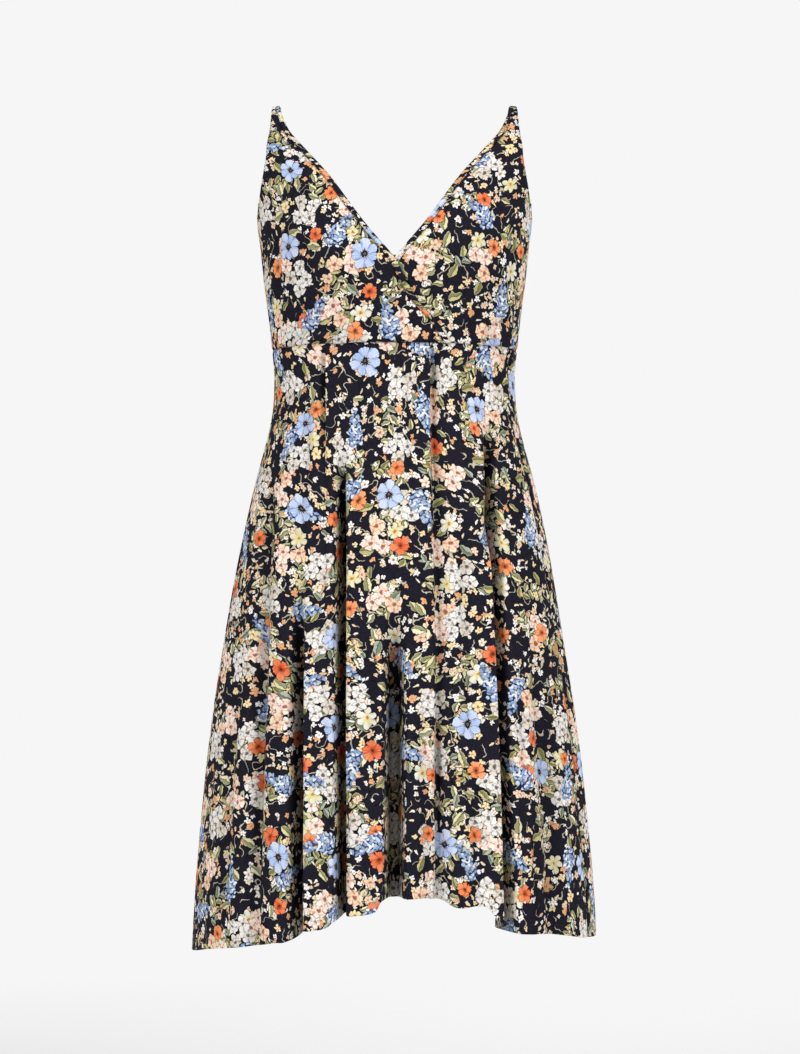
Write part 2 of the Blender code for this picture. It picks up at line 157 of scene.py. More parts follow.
# Columns: height, half width, depth before the sides, depth behind the sides
SECTIONS = np.array([
    (0.000, 0.1780, 0.008, 0.012),
    (-0.030, 0.1730, 0.044, 0.042),
    (-0.060, 0.1650, 0.073, 0.063),
    (-0.085, 0.1570, 0.090, 0.075),
    (-0.107, 0.1505, 0.100, 0.082),
    (-0.125, 0.1512, 0.105, 0.086),
    (-0.156, 0.1474, 0.109, 0.090),
    (-0.189, 0.1441, 0.108, 0.089),
    (-0.222, 0.1397, 0.101, 0.086),
    (-0.2655, 0.1348, 0.090, 0.081),
    (-0.300, 0.1322, 0.087, 0.081),
    (-0.345, 0.1358, 0.091, 0.086),
    (-0.420, 0.1550, 0.106, 0.102),
    (-0.510, 0.1740, 0.124, 0.120),
    (-0.600, 0.1890, 0.140, 0.136),
    (-0.690, 0.2020, 0.153, 0.150),
    (-0.780, 0.2120, 0.164, 0.161),
    (-0.860, 0.2190, 0.171, 0.167),
    (-0.930, 0.2228, 0.174, 0.169),
])
HALF_WIDTH, FRONT_DEPTH, BACK_DEPTH = 1, 2, 3

# Columns: height, distance across of the left panel's edge
NECK_EDGE = np.array([
    (0.0000, -0.1272), (-0.0294, -0.1147), (-0.0481, -0.1000), (-0.0841, -0.0701), (-0.1354, -0.0334),
    (-0.1763, 0.0000), (-0.2000, 0.0118), (-0.2224, 0.0250), (-0.2451, 0.0450), (-0.2675, 0.0590),
])
ARMHOLE_EDGE = np.array([
    (0.0000, -0.1346), (-0.0272, -0.1364), (-0.0446, -0.1392), (-0.0613, -0.1405), (-0.0777, -0.1434),
    (-0.0930, -0.1467), (-0.1070, -0.1492),
])

# Columns: sine of the angle round the body, height of the hem
FRONT_HEM = np.array([
    (-1.00, -0.9220), (-0.87, -0.9110), (-0.68, -0.9020), (-0.54, -0.8950), (-0.487, -0.8925),
    (-0.462, -0.8825), (-0.40, -0.8815), (-0.33, -0.8785), (-0.282, -0.8710), (-0.262, -0.8655),
    (-0.20, -0.8650), (-0.09, -0.8600), (-0.06, -0.8495), (0.00, -0.8485), (0.10, -0.8465),
    (0.22, -0.8478), (0.277, -0.8552), (0.31, -0.8570), (0.438, -0.8570), (0.468, -0.8700),
    (0.50, -0.8740), (0.522, -0.8820), (0.58, -0.8865), (0.71, -0.8897), (0.805, -0.8940),
    (0.872, -0.8988), (0.954, -0.9030), (1.00, -0.9060),
])
BACK_HEM = np.array([
    (-1.00, -0.922), (-0.80, -0.908), (-0.50, -0.890), (0.00, -0.880), (0.50, -0.887), (0.80, -0.897),
    (1.00, -0.906),
])

# A fold is a trough down the skirt, as in the CAD. Columns: angle in degrees of its deepest line at the waist
# and at the hem, half-widths towards smaller and larger angles, depth at the top and at the hem, and the
# heights between which the depth changes
FRONT_FOLDS = [
    (-63.8, -40.6, 0.010, 0.010, 0.000, 0.009, -0.36, -0.55),
    (-45.2, -27.1, 0.007, 0.006, 0.002, 0.036, -0.50, -0.66),
    (-33.0, -18.2, 0.008, 0.002, 0.008, 0.001, -0.30, -0.44),
    (-24.6, -14.9, 0.005, 0.005, 0.000, 0.031, -0.36, -0.48),
    (0.0, 0.0, 0.009, 0.009, 0.000, 0.034, -0.52, -0.65),
    (17.5, 13.0, 0.003, 0.009, 0.009, 0.009, -0.33, -0.50),
    (43.5, 31.8, 0.004, 0.006, 0.001, 0.028, -0.34, -0.46),
    (57.0, 47.0, 0.010, 0.010, 0.000, 0.009, -0.52, -0.70),
]
BACK_FOLDS = [
    (84.0, 84.0, 0.011, 0.011, 0.000, 0.011, -0.46, -0.66),
    (106.0, 107.0, 0.007, 0.008, 0.001, 0.022, -0.38, -0.58),
    (124.0, 132.0, 0.010, 0.008, 0.000, 0.012, -0.40, -0.64),
    (143.0, 151.0, 0.006, 0.007, 0.000, 0.024, -0.50, -0.66),
    (160.0, 164.5, 0.009, 0.003, 0.008, 0.028, -0.36, -0.58),
    (175.0, 176.4, 0.009, 0.009, 0.000, 0.010, -0.56, -0.74),
    (190.6, 188.3, 0.006, 0.006, 0.000, 0.033, -0.42, -0.60),
    (204.0, 200.0, 0.003, 0.009, 0.008, 0.010, -0.30, -0.60),
    (218.0, 211.5, 0.007, 0.006, 0.001, 0.028, -0.34, -0.52),
    (237.0, 227.0, 0.010, 0.010, 0.000, 0.012, -0.45, -0.66),
    (254.0, 250.0, 0.007, 0.008, 0.000, 0.019, -0.42, -0.62),
    (270.0, 269.0, 0.011, 0.011, 0.000, 0.010, -0.50, -0.70),
]

# Slow waves of cloth that hangs. Columns: waves round the body, lean, start, and size in millimetres
DRAPE_WAVES = [
    (9, 3.0, 0.4, 0.50),
    (14, -4.0, 1.7, 0.35),
    (23, 6.0, 2.9, 0.25),
    (31, -9.0, 0.9, 0.18),
    (5, 14.0, 2.2, 0.40),
]
DRAPE_FULL_BELOW_WAIST = 0.25

# Softer creases of the cloth, which the CAD leaves out. Columns: +1 on the front and -1 on the back, the
# place across and the height of both ends, how far the middle bows across, half-width, and depth inwards
CREASES = [
    (1, -0.1340, -0.395, -0.1400, -0.520, 0.000, 0.0040, 0.0022),
    (1, -0.1385, -0.535, -0.1420, -0.670, 0.002, 0.0045, 0.0030),
    (1, -0.1440, -0.600, -0.1480, -0.860, 0.000, 0.0050, 0.0040),
    (1, -0.0215, -0.590, -0.0240, -0.720, 0.001, 0.0050, 0.0030),
    (1, 0.0290, -0.620, 0.0330, -0.900, 0.000, 0.0045, 0.0045),
    (1, 0.0455, -0.640, 0.0450, -0.900, 0.000, 0.0032, 0.0090),
    (1, 0.1330, -0.640, 0.1390, -0.730, 0.001, 0.0045, 0.0030),
    (1, 0.1480, -0.760, 0.1540, -0.910, 0.000, 0.0045, 0.0040),
    (1, 0.1280, -0.300, 0.0960, -0.246, 0.004, 0.0040, 0.0030),
    (1, -0.1260, -0.270, -0.0820, -0.247, -0.003, 0.0035, 0.0028),
    (1, -0.0780, -0.266, -0.0500, -0.258, 0.000, 0.0030, 0.0022),
    (1, 0.1240, -0.237, 0.1000, -0.252, 0.002, 0.0035, 0.0030),
    (1, -0.1080, -0.215, -0.0520, -0.262, 0.006, 0.0060, 0.0016),
    (1, 0.1150, -0.190, 0.0700, -0.258, -0.004, 0.0060, 0.0016),
    (1, -0.0950, -0.060, -0.1180, -0.120, 0.003, 0.0060, 0.0010),
    (1, 0.0960, -0.062, 0.1200, -0.118, -0.003, 0.0060, 0.0010),
    (1, 0.1045, -0.350, 0.0985, -0.500, 0.000, 0.0042, 0.0100),
    (1, -0.0900, -0.300, -0.0960, -0.470, 0.001, 0.0040, 0.0030),
    (1, 0.0720, -0.430, 0.0780, -0.700, 0.001, 0.0050, 0.0035),
    (1, 0.0130, -0.290, 0.0150, -0.430, 0.000, 0.0035, 0.0022),
    (1, -0.0350, -0.285, -0.0380, -0.400, 0.000, 0.0035, 0.0022),
    (1, -0.1700, -0.640, -0.1820, -0.880, 0.001, 0.0050, 0.0045),
    (1, 0.1650, -0.620, 0.1800, -0.880, 0.001, 0.0050, 0.0045),
    (1, -0.0480, -0.700, -0.0500, -0.880, 0.000, 0.0045, 0.0040),
    (1, 0.0820, -0.700, 0.0860, -0.890, 0.000, 0.0045, 0.0040),
    (1, -0.1270, -0.130, -0.1230, -0.250, 0.001, 0.0045, 0.0020),
    (1, 0.1300, -0.140, 0.1230, -0.215, -0.001, 0.0045, 0.0018),
    (1, -0.0700, -0.215, -0.0450, -0.262, 0.003, 0.0050, 0.0014),
    (1, 0.0900, -0.215, 0.0780, -0.262, -0.003, 0.0050, 0.0014),
    (-1, 0.0000, -0.300, 0.0020, -0.420, 0.000, 0.0045, 0.0025),
    (-1, -0.0700, -0.290, -0.0740, -0.430, 0.000, 0.0045, 0.0025),
    (-1, 0.0800, -0.290, 0.0850, -0.450, 0.000, 0.0045, 0.0025),
    (-1, -0.1700, -0.620, -0.1800, -0.860, 0.001, 0.0050, 0.0045),
    (-1, 0.0100, -0.640, 0.0120, -0.860, 0.000, 0.0045, 0.0040),
    (-1, -0.1180, -0.268, -0.0600, -0.250, 0.003, 0.0045, 0.0020),
    (-1, 0.1160, -0.262, 0.0720, -0.240, -0.003, 0.0045, 0.0020),
    (-1, -0.0300, -0.600, -0.0340, -0.760, 0.001, 0.0050, 0.0035),
    (-1, 0.0420, -0.560, 0.0500, -0.740, 0.000, 0.0050, 0.0035),
    (-1, 0.1100, -0.640, 0.1180, -0.860, 0.000, 0.0045, 0.0045),
    (-1, -0.1180, -0.600, -0.1260, -0.840, 0.002, 0.0045, 0.0045),
]

# Columns: place across, depth, height and lean back of the strap's outer face over the right shoulder
STRAP_OVER_SHOULDER = np.array([
    (0.1307, -0.0035, 0.0012, -0.30),
    (0.1303, 0.0008, 0.0020, 0.05),
    (0.1296, 0.0055, 0.0010, 0.35),
    (0.1288, 0.0115, -0.0042, 0.55),
])
STRAP_BACK_HEIGHTS = (-0.0180, -0.0380, -0.0620, -0.0900)
STRAP_AT_BACK = 0.104
STRAP_AT_SHOULDER = 0.1280
STRAP_TIP_NORMAL = (-0.15, -0.75, 0.65)
STRAP_SIDE_LEAN = -0.1

# Radius of the ring that each half of the skirt is cut from, at the waist
RING_RADIUS = 0.50

# Where each piece is cut from the print. Columns: turn in degrees, and its place in metres
ON_PRINT = {
    "skirt_front_cloth": (0.0, 0.60, 0.35),
    "skirt_back_cloth": (0.0, 2.10, 0.31),
    "front_left_cloth": (9.0, 3.62, 0.44),
    "front_right_cloth": (-9.0, 4.55, 0.52),
    "neck_binding_left_cloth": (-31.0, 3.931, 0.567),
    "neck_binding_right_cloth": (31.0, 4.861, 0.647),
    "back_cloth": (0.0, 5.70, 0.38),
    "strap_left_cloth": (12.0, 6.40, 0.30),
    "strap_right_cloth": (12.0, 6.90, 0.50),
}

# Sockets of a Mix node that blends two colours
MIX_FIRST = 6
MIX_SECOND = 7
MIX_RESULT = 2

# Print, in millimetres: its yarns, the leaves along a stem and the heads of florets
YARN_PITCH = 0.42
SPRIG_PITCH = 10.0
SPRIG_REACH = 4.6
SPIKE_FOOT = 23.0
SPIKE_LENGTH = 48.0
SPIKE_WIDTH = 12.0

# Colours of the print's motifs, from 0 to 255
LEAVES = [(224, 217, 166), (200, 192, 128), (236, 230, 192), (176, 170, 112), (218, 210, 162),
          (164, 178, 164)]
LEAF_SHADE = (98, 100, 62)
CREAMS = [(251, 249, 246), (246, 236, 214), (253, 252, 250), (241, 212, 184), (246, 224, 172),
          (235, 166, 118)]
BLOSSOMS = [(248, 245, 240), (243, 231, 206), (241, 206, 178), (244, 226, 172), (239, 235, 230),
            (200, 154, 106)]
FLORETS = [(212, 223, 241), (168, 188, 220), (234, 239, 249), (138, 160, 202), (196, 210, 234),
           (178, 190, 186)]
CORALS = [(246, 232, 214), (240, 206, 174), (250, 241, 228), (234, 166, 126), (246, 224, 196)]
IVORIES = [(236, 232, 227), (222, 215, 207), (245, 242, 238), (208, 200, 190), (230, 221, 210)]
POPPY_ORANGES = [(238, 120, 66), (230, 98, 50), (242, 146, 92), (224, 90, 50)]
STAR_WHITES = [(242, 238, 228), (236, 228, 196), (244, 240, 232)]


def smooth(low, high, value):
    """Rises smoothly from 0 at low to 1 at high."""
    share = np.clip((value - low) / (high - low), 0.0, 1.0)
    return share * share * (3.0 - 2.0 * share)


def read_table(table, column, at):
    """A column of a table at values of its first one, on a smooth curve through the rows."""
    rows = table[np.argsort(table[:, 0])]
    keys, values = rows[:, 0], rows[:, column]
    slopes = np.empty_like(values)
    slopes[1:-1] = (values[2:] - values[:-2]) / (keys[2:] - keys[:-2])
    slopes[0] = (values[1] - values[0]) / (keys[1] - keys[0])
    slopes[-1] = (values[-1] - values[-2]) / (keys[-1] - keys[-2])
    at = np.clip(at, keys[0], keys[-1])
    index = np.clip(np.searchsorted(keys, at, side="right") - 1, 0, len(keys) - 2)
    span = keys[index + 1] - keys[index]
    s = (at - keys[index]) / span
    start = (1.0 + 2.0 * s) * (1.0 - s) ** 2 * values[index]
    end = s * s * (3.0 - 2.0 * s) * values[index + 1]
    lean_out = s * (1.0 - s) ** 2 * span * slopes[index]
    lean_in = s * s * (s - 1.0) * span * slopes[index + 1]
    return start + end + lean_out + lean_in


def half_width(height):
    """Half-width of the section."""
    return read_table(SECTIONS, HALF_WIDTH, height)


def fullness(angle):
    """How much fuller than an ellipse the section is."""
    return 1.0 + BODY_ROUNDING * np.sin(2.0 * angle) ** 2


def section_depth(angle, height):
    """Half-depth of the section, before or behind the sides."""
    front = read_table(SECTIONS, FRONT_DEPTH, height)
    back = read_table(SECTIONS, BACK_DEPTH, height)
    return np.where(np.cos(angle) > 0.0, front, back)


def body_point(angle, height):
    """Points of the dress's smooth outer surface."""
    x = half_width(height) * np.sin(angle) * fullness(angle)
    y = -section_depth(angle, height) * np.cos(angle) * fullness(angle)
    up = ((height - BUST_HEIGHT) / BUST_SPREAD_UP) ** 2
    for side in (-1.0, 1.0):
        across = ((x - side * BUST_ASIDE) / BUST_SPREAD_ACROSS) ** 2
        y = y - BUST_LIFT * np.maximum(0.0, np.cos(angle)) * np.exp(-across - up)
    return np.stack([x, y, height + 0.0 * x], axis=-1)


def outward(angle, height):
    """Level unit vectors that point out of the section."""
    x = np.sin(angle) / half_width(height)
    y = -np.cos(angle) / section_depth(angle, height)
    return np.stack([x, y, 0.0 * x], axis=-1) / np.hypot(x, y)[..., None]


def angle_at(across, height):
    """Angles on the front half whose points lie this far across."""
    wide = half_width(height)
    angle = 0.0 * (across + height)
    for _ in range(8):
        angle = np.arcsin(np.clip(across / (wide * fullness(angle)), -0.995, 0.995))
    return angle


def waist_height(angle):
    """Height of the waist seam."""
    return WAIST_AT_SIDE + (WAIST_AT_FRONT - WAIST_AT_SIDE) * np.maximum(0.0, np.cos(angle)) ** 2


def hem_height(angle):
    """Height of the hem, lowest at the sides."""
    front = read_table(FRONT_HEM, 1, np.sin(angle))
    back = read_table(BACK_HEM, 1, np.sin(angle))
    return np.where(np.cos(angle) > 0.0, front, back)


def right_seam(height):
    """Angle of the right side seam of the bodice."""
    bend = smooth(UNDERARM_HEIGHT - RIGHT_SEAM_BEND, UNDERARM_HEIGHT, height)
    return RIGHT_SEAM + (RIGHT_SEAM_AT_UNDERARM - RIGHT_SEAM) * bend


def binding_width(height):
    """Level width of the neck binding, which narrows to the shoulder."""
    share = smooth(TIP_HEIGHT - BINDING_TAPER, TIP_HEIGHT, height)
    return BINDING_WIDTH + (BINDING_WIDTH_AT_TIP - BINDING_WIDTH) * share


def back_neck_drop(angle):
    """How far the back's top edge lies below the level of the underarm."""
    return BACK_NECK_DROP * np.maximum(0.0, -np.cos(angle)) ** 2


def skirt_height(angle, share):
    """Height at a share of the way from the waist seam down to the hem."""
    top = waist_height(angle)
    return top + (hem_height(angle) - top) * share


def bodice_height(angle, share, top_drop):
    """Height of a row of the bodice from the waist seam (0) to the level of the underarm (1)."""
    level = WAIST_AT_SIDE + (UNDERARM_HEIGHT - WAIST_AT_SIDE) * share
    seam_rise = (waist_height(angle) - WAIST_AT_SIDE) * (1.0 - share) ** 2
    return level + seam_rise - top_drop * share ** 2


def neck_across(height):
    """Distance across of the left front panel's free edge."""
    return read_table(NECK_EDGE, 1, height)


def free_edge(side, height):
    """Angle of a front panel's free edge, which its binding covers."""
    return angle_at(-side * neck_across(height), height)


def binding_seam(side, height):
    """Angle of the line where a front panel meets its binding."""
    return angle_at(-side * (neck_across(height) - binding_width(height)), height)


def side_edge(side, height):
    """Angle of a front panel's outer edge: the armhole, and below the underarm the side seam."""
    armhole = angle_at(-side * read_table(ARMHOLE_EDGE, 1, height), height)
    seam = np.full_like(height, LEFT_SEAM) if side < 0.0 else right_seam(height)
    return np.where(height > UNDERARM_HEIGHT + HEIGHT_MARGIN, armhole, seam)


def ring_speed(angle, height):
    """Length along the section for each radian."""
    return np.hypot(half_width(height) * np.cos(angle), section_depth(angle, height) * np.sin(angle))


def fold_angle(fold, height):
    """Angle of a fold's deepest line at one height, so that folds hang nearly straight down."""
    at_waist, at_hem = fold[:2]
    waist, here, foot = (1.0 / half_width(level) for level in (WAIST_AT_SIDE, height, FOLD_FOOT))
    return np.radians(at_hem + (at_waist - at_hem) * (here - foot) / (waist - foot))


def fold_depth(fold, height, top):
    """Depth of a fold, none at the waist seam itself."""
    at_top, at_hem, starts, ends = fold[4:]
    share = smooth(-starts, -ends, -height)
    return (at_top + (at_hem - at_top) * share) * smooth(0.0, FOLD_MOUTH, top - height)


def fold_aside(fold, angle, height):
    """Distance from a fold's deepest line, as a share of its half-width there."""
    smaller, larger = fold[2:4]
    aside = (angle - fold_angle(fold, height)) * ring_speed(angle, height)
    scale = 1.0 + (FOLD_SCALE_AT_WAIST - 1.0) * smooth(FOLD_FULL_WIDTH, WAIST_AT_SIDE, height)
    return aside / (np.where(aside < 0.0, smaller, larger) * scale)


def crease_push(points, facing):
    """How far the soft creases push points of the outer surface in."""
    x, z = points[..., 0], points[..., 2]
    push = 0.0 * x
    for side, x0, z0, x1, z1, bow, width, depth in CREASES:
        length = np.hypot(x1 - x0, z1 - z0)
        along = ((x - x0) * (x1 - x0) + (z - z0) * (z1 - z0)) / length ** 2
        aside = ((x - x0) * (z1 - z0) - (z - z0) * (x1 - x0)) / length
        aside = aside - 4.0 * bow * along * (1.0 - along)
        ends = smooth(-0.12, 0.30, along) * smooth(-0.12, 0.30, 1.0 - along)
        push = push + depth * ends * np.exp(-((aside / width) ** 2)) * (facing * side > 0.0)
    return push


def drape(angle, height):
    """Slow unevenness of cloth that hangs."""
    wave = 0.0
    for count, lean, start, size in DRAPE_WAVES:
        wave = wave + size * np.sin(count * angle + lean * height + start)
    return 0.001 * wave * smooth(0.0, DRAPE_FULL_BELOW_WAIST, WAIST_AT_SIDE - height)


def fold_push(angle, height, folds):
    """How far the folds push points of the outer surface in."""
    push = 0.0
    for fold in folds:
        aside = fold_aside(fold, angle, height)
        depth = fold_depth(fold, height, waist_height(angle))
        steep = 2.0 + FOLD_STEEPNESS * smooth(STEEP_FROM_DEPTH, STEEP_TO_DEPTH, depth)
        push = push + depth * np.exp(-(np.abs(aside) ** steep))
        push = push - FOLD_LIP * depth * np.exp(-(((np.abs(aside) - LIP_OFFSET) / LIP_WIDTH) ** 2))
    return push


def painted_fold_shade(angle, height, folds=()):
    """Painted shade of the cloth's colour at the bottoms of folds and creases, from 0 to 1."""
    creased = crease_push(body_point(angle, height), np.cos(angle))
    return np.clip(fold_push(angle, height, folds) / SHADED_FOLD + creased / SHADED_CREASE, 0.0, 1.0)


def skirt_point(angle, height, folds):
    """Points of the skirt's outer surface, with its folds and creases pushed in."""
    points = body_point(angle, height)
    push = fold_push(angle, height, folds) + crease_push(points, np.cos(angle)) + drape(angle, height)
    return points - outward(angle, height) * push[..., None]


def bodice_surface(angle, height):
    """Points of the bodice's outer surface, with its creases pushed in."""
    points = body_point(angle, height)
    return points - outward(angle, height) * crease_push(points, np.cos(angle))[..., None]


def unit(vectors):
    """Vectors brought to length 1."""
    return vectors / np.linalg.norm(vectors, axis=-1, keepdims=True)


def length_along(line):
    """Distance of each point of a line from its start."""
    return np.concatenate([[0.0], np.cumsum(np.linalg.norm(np.diff(line, axis=0), axis=1))])


def point_at(line, run, place):
    """Point of a line at a distance from its start, where run holds the distances of its points."""
    return np.array([np.interp(place, run, line[:, axis]) for axis in range(3)])


def between(grid, row, column):
    """Values of a grid at places between its rows and columns."""
    below, before = row.astype(int), column.astype(int)
    row_share, column_share = row - below, column - before
    upper = grid[below, before] * (1 - column_share) + grid[below, before + 1] * column_share
    lower = grid[below + 1, before] * (1 - column_share) + grid[below + 1, before + 1] * column_share
    return upper * (1 - row_share) + lower * row_share


def flat_places(angle, height, surface, middle, apex=None):
    """Places of points on the flat cloth, measured from a middle line.

    A flared piece is cut as part of a ring, and apex is how far its centre lies above the waist.
    """
    levels = np.linspace(height.min() - HEIGHT_MARGIN, height.max() + HEIGHT_MARGIN, FLAT_ROWS)
    fan = np.linspace(angle.min() - ANGLE_MARGIN, angle.max() + ANGLE_MARGIN, FLAT_COLUMNS)
    grid = surface(*np.meshgrid(fan, levels))
    run = np.zeros(grid.shape[:2])
    run[:, 1:] = np.cumsum(np.linalg.norm(np.diff(grid, axis=1), axis=-1), axis=1)
    run -= np.array([np.interp(middle, fan, row) for row in run])[:, None]
    if apex is not None:
        # The cut is straight down its sides, so the cloth between them is spread evenly
        for end in (0, -1):
            straight = np.polyval(np.polyfit(levels, run[:, end], 1), levels)
            outer_part = run * np.sign(run[0, end]) > 0.0
            run = np.where(outer_part, run * (straight / run[:, end])[:, None], run)
    level = np.clip((height - levels[0]) / (levels[1] - levels[0]), 0.0, len(levels) - 1.001)
    spot = np.clip((angle - fan[0]) / (fan[1] - fan[0]), 0.0, len(fan) - 1.001)
    round_it = between(run, level, spot)
    profile = body_point(np.full(len(levels), pi / 4.0), levels)
    down_it = np.interp(height, levels, length_along(profile))
    if apex is None:
        return np.stack([round_it, down_it], axis=-1)
    radius = apex + down_it.max() - down_it
    return np.stack([radius * np.sin(round_it / radius), -radius * np.cos(round_it / radius)], axis=-1)


def surface_normals(grid):
    """Normals of a grid of points, facing away from the body's middle line."""
    normals = unit(np.cross(np.gradient(grid, axis=0), np.gradient(grid, axis=1)))
    if np.sum(grid[..., :2] * normals[..., :2]) < 0.0:
        normals = -normals
    return normals


def edge_distance(grid, edges):
    """Distance of each point from the nearest of the named edges, measured along rows and columns."""
    steps_down = np.linalg.norm(np.diff(grid, axis=0), axis=-1)
    steps_across = np.linalg.norm(np.diff(grid, axis=1), axis=-1)
    down = np.zeros(grid.shape[:2])
    down[1:] = np.cumsum(steps_down, axis=0)
    across = np.zeros(grid.shape[:2])
    across[:, 1:] = np.cumsum(steps_across, axis=1)
    ways = {"first_row": down, "last_row": down[-1:] - down,
            "first_column": across, "last_column": across[:, -1:] - across}
    nearest = np.full(grid.shape[:2], 1.0)
    for edge in edges:
        nearest = np.minimum(nearest, ways[edge])
    return nearest


def line_across(grid, normals, distance):
    """Points and normals at a distance from the grid's last row, measured along its columns."""
    steps = np.linalg.norm(np.diff(grid[::-1], axis=0), axis=-1)
    run = np.concatenate([np.zeros((1, grid.shape[1])), np.cumsum(steps, axis=0)])
    return [np.array([point_at(values[::-1, column], run[:, column], distance)
                      for column in range(grid.shape[1])]) for values in (grid, normals)]


def smooth_path(points, steps):
    """Points evenly spaced by number on a smooth curve through the given ones."""
    ends = np.vstack([2.0 * points[0] - points[1], points, 2.0 * points[-1] - points[-2]])
    curve = []
    for step in range(steps + 1):
        place = step / steps * (len(points) - 1)
        index = min(len(points) - 2, int(place))
        s = place - index
        before, start, end, after = ends[index:index + 4]
        curve.append(0.5 * (2.0 * start + (end - before) * s
                            + (2.0 * before - 5.0 * start + 4.0 * end - after) * s * s
                            + (3.0 * start - before - 3.0 * end + after) * s ** 3))
    return np.array(curve)


# The print


def tone(red, green, blue):
    """Colour for a shader from its 0 to 255 values on a screen."""
    values = np.array((red, green, blue)) / 255.0
    linear = np.where(values <= 0.04045, values / 12.92, ((values + 0.055) / 1.055) ** 2.4)
    return (*linear.tolist(), 1.0)


class Field:
    """A number that varies over the cloth. Arithmetic on it adds nodes to the shader."""

    tree = None

    def __init__(self, socket):
        self.socket = socket

    def __add__(self, other):
        return sums("ADD", self, other)

    def __radd__(self, other):
        return sums("ADD", other, self)

    def __sub__(self, other):
        return sums("SUBTRACT", self, other)

    def __rsub__(self, other):
        return sums("SUBTRACT", other, self)

    def __mul__(self, other):
        return sums("MULTIPLY", self, other)

    def __truediv__(self, other):
        return sums("DIVIDE", self, other)

    def __pow__(self, other):
        return sums("POWER", self, other)

    def __abs__(self):
        return sums("ABSOLUTE", self)


def attach(value, socket):
    """Sets a socket to a constant, or links a field or another socket to it."""
    if isinstance(value, Field):
        value = value.socket
    if isinstance(value, bpy.types.NodeSocket):
        Field.tree.links.new(value, socket)
    else:
        socket.default_value = value


def add_node(kind, inputs, **settings):
    """A node of the shader with its settings, its inputs set or linked by their names or numbers."""
    node = Field.tree.nodes.new("ShaderNode" + kind)
    for name, value in settings.items():
        setattr(node, name, value)
    for name, value in inputs.items():
        attach(value, node.inputs[name])
    return node


def sums(operation, *values):
    """A Math node as a field."""
    return Field(add_node("Math", dict(enumerate(values)), operation=operation).outputs[0])


def sine(value):
    """Sine of a field in radians."""
    return sums("SINE", value)


def step_up(low, high, value):
    """Field that rises smoothly from 0 at low to 1 at high."""
    inputs = {"Value": value, "From Min": low, "From Max": high}
    return Field(add_node("MapRange", inputs, interpolation_type="SMOOTHSTEP").outputs[0])


def blend_colour(share, first, second, mode="MIX"):
    """Colour between two others."""
    inputs = {0: share, MIX_FIRST: first, MIX_SECOND: second}
    return add_node("Mix", inputs, data_type="RGBA", blend_type=mode).outputs[MIX_RESULT]


def tinted(colour, *tints):
    """Colour with others blended over it, each given with its share."""
    for share, over in tints:
        colour = blend_colour(share, colour, tone(*over))
    return colour


def pick(value, colours):
    """One of several colours, by a random number from 0 to 1."""
    node = add_node("ValToRGB", {0: value})
    node.color_ramp.interpolation = "CONSTANT"
    stops = node.color_ramp.elements
    while len(stops) < len(colours):
        stops.new(1.0)
    for place, (stop, colour) in enumerate(zip(stops, colours)):
        stop.position = place / len(colours)
        stop.color = tone(*colour)
    return node.outputs[0]


def vector_of(x, y):
    """Vector from two fields."""
    return add_node("CombineXYZ", {0: x, 1: y}).outputs[0]


def parts_of(vector):
    """First two parts of a vector as fields."""
    node = add_node("SeparateXYZ", {0: vector})
    return Field(node.outputs[0]), Field(node.outputs[1])


def moved(vector, shift):
    """Vector moved by a constant."""
    return add_node("VectorMath", {0: vector, 1: (*shift, 0.0)}, operation="ADD").outputs[0]


def spun(vector, angle):
    """Vector turned in its plane by a field in radians."""
    return add_node("VectorRotate", {"Vector": vector, "Angle": angle}, rotation_type="Z_AXIS").outputs[0]


def noise(vector, size, detail):
    """Noise that varies over about this size."""
    inputs = {"Vector": vector, "Scale": 1.0 / size, "Detail": detail}
    return add_node("TexNoise", inputs, noise_dimensions="2D")


def cloud(vector, size, detail=1.0):
    """Slow random variation from about 0.25 to 0.75."""
    return Field(noise(vector, size, detail).outputs[0])


def wavering(vector, size, amount):
    """Vector moved a little at random, as by a brush."""
    inputs = {0: noise(vector, size, 2.0).outputs["Color"], 1: (amount, amount, 0.0), 2: vector}
    return add_node("VectorMath", inputs, operation="MULTIPLY_ADD").outputs[0]


def cells(vector, size, jitter):
    """Scattered places: the vector from the nearest, that place, and 3 random numbers for it."""
    inputs = {"Vector": vector, "Scale": 1.0 / size, "Randomness": jitter}
    node = add_node("TexVoronoi", inputs, voronoi_dimensions="2D", feature="F1")
    place = node.outputs["Position"]
    offset = add_node("VectorMath", {0: vector, 1: place}, operation="SUBTRACT")
    split = add_node("SeparateColor", {0: node.outputs["Color"]})
    return offset.outputs[0], place, [Field(output) for output in split.outputs]


def polar(vector):
    """Distance from the middle and angle round it."""
    x, y = parts_of(vector)
    return sums("SQRT", x * x + y * y), sums("ARCTAN2", y, x)


def scatter(vector, size, jitter):
    """As cells, with each place turned its own way, and 2 random numbers."""
    local, place, (chance, kind, turn) = cells(vector, size, jitter)
    return spun(local, turn * (2.0 * pi)), place, chance, kind


def kept(place, chance, amount, patch):
    """1 for the share of the places that carry a motif, more of them in the print's dense parts."""
    return sums("GREATER_THAN", (cloud(place, patch) + chance) * 0.5, 1.0 - amount)


def bloom(vector, radius, count, notch, seed, plumpness=2.6):
    """Flower seen from the front, with petals of uneven length.

    Gives how far inside its edge a point is, the share of the way out to the petals' ends, the place
    across the petal from -1 to 1, a random number for each petal, and the angle round the flower.
    """
    distance, around = polar(vector)
    turns = around * (count / (2.0 * pi)) + (64.0 + 0.5 * (count % 2))
    number = sums("FLOOR", turns)
    aside = (turns - number) * 2.0 - 1.0
    petal = sums("FRACT", number * 0.618 + seed * 7.3)
    lobe = sums("MAXIMUM", 1.0 - abs(aside) ** plumpness, 0.0) ** 0.5
    reach = (lobe * notch + (1.0 - notch)) * (petal * 0.3 + 0.84) * radius
    return reach - distance, distance / reach, aside, petal, around


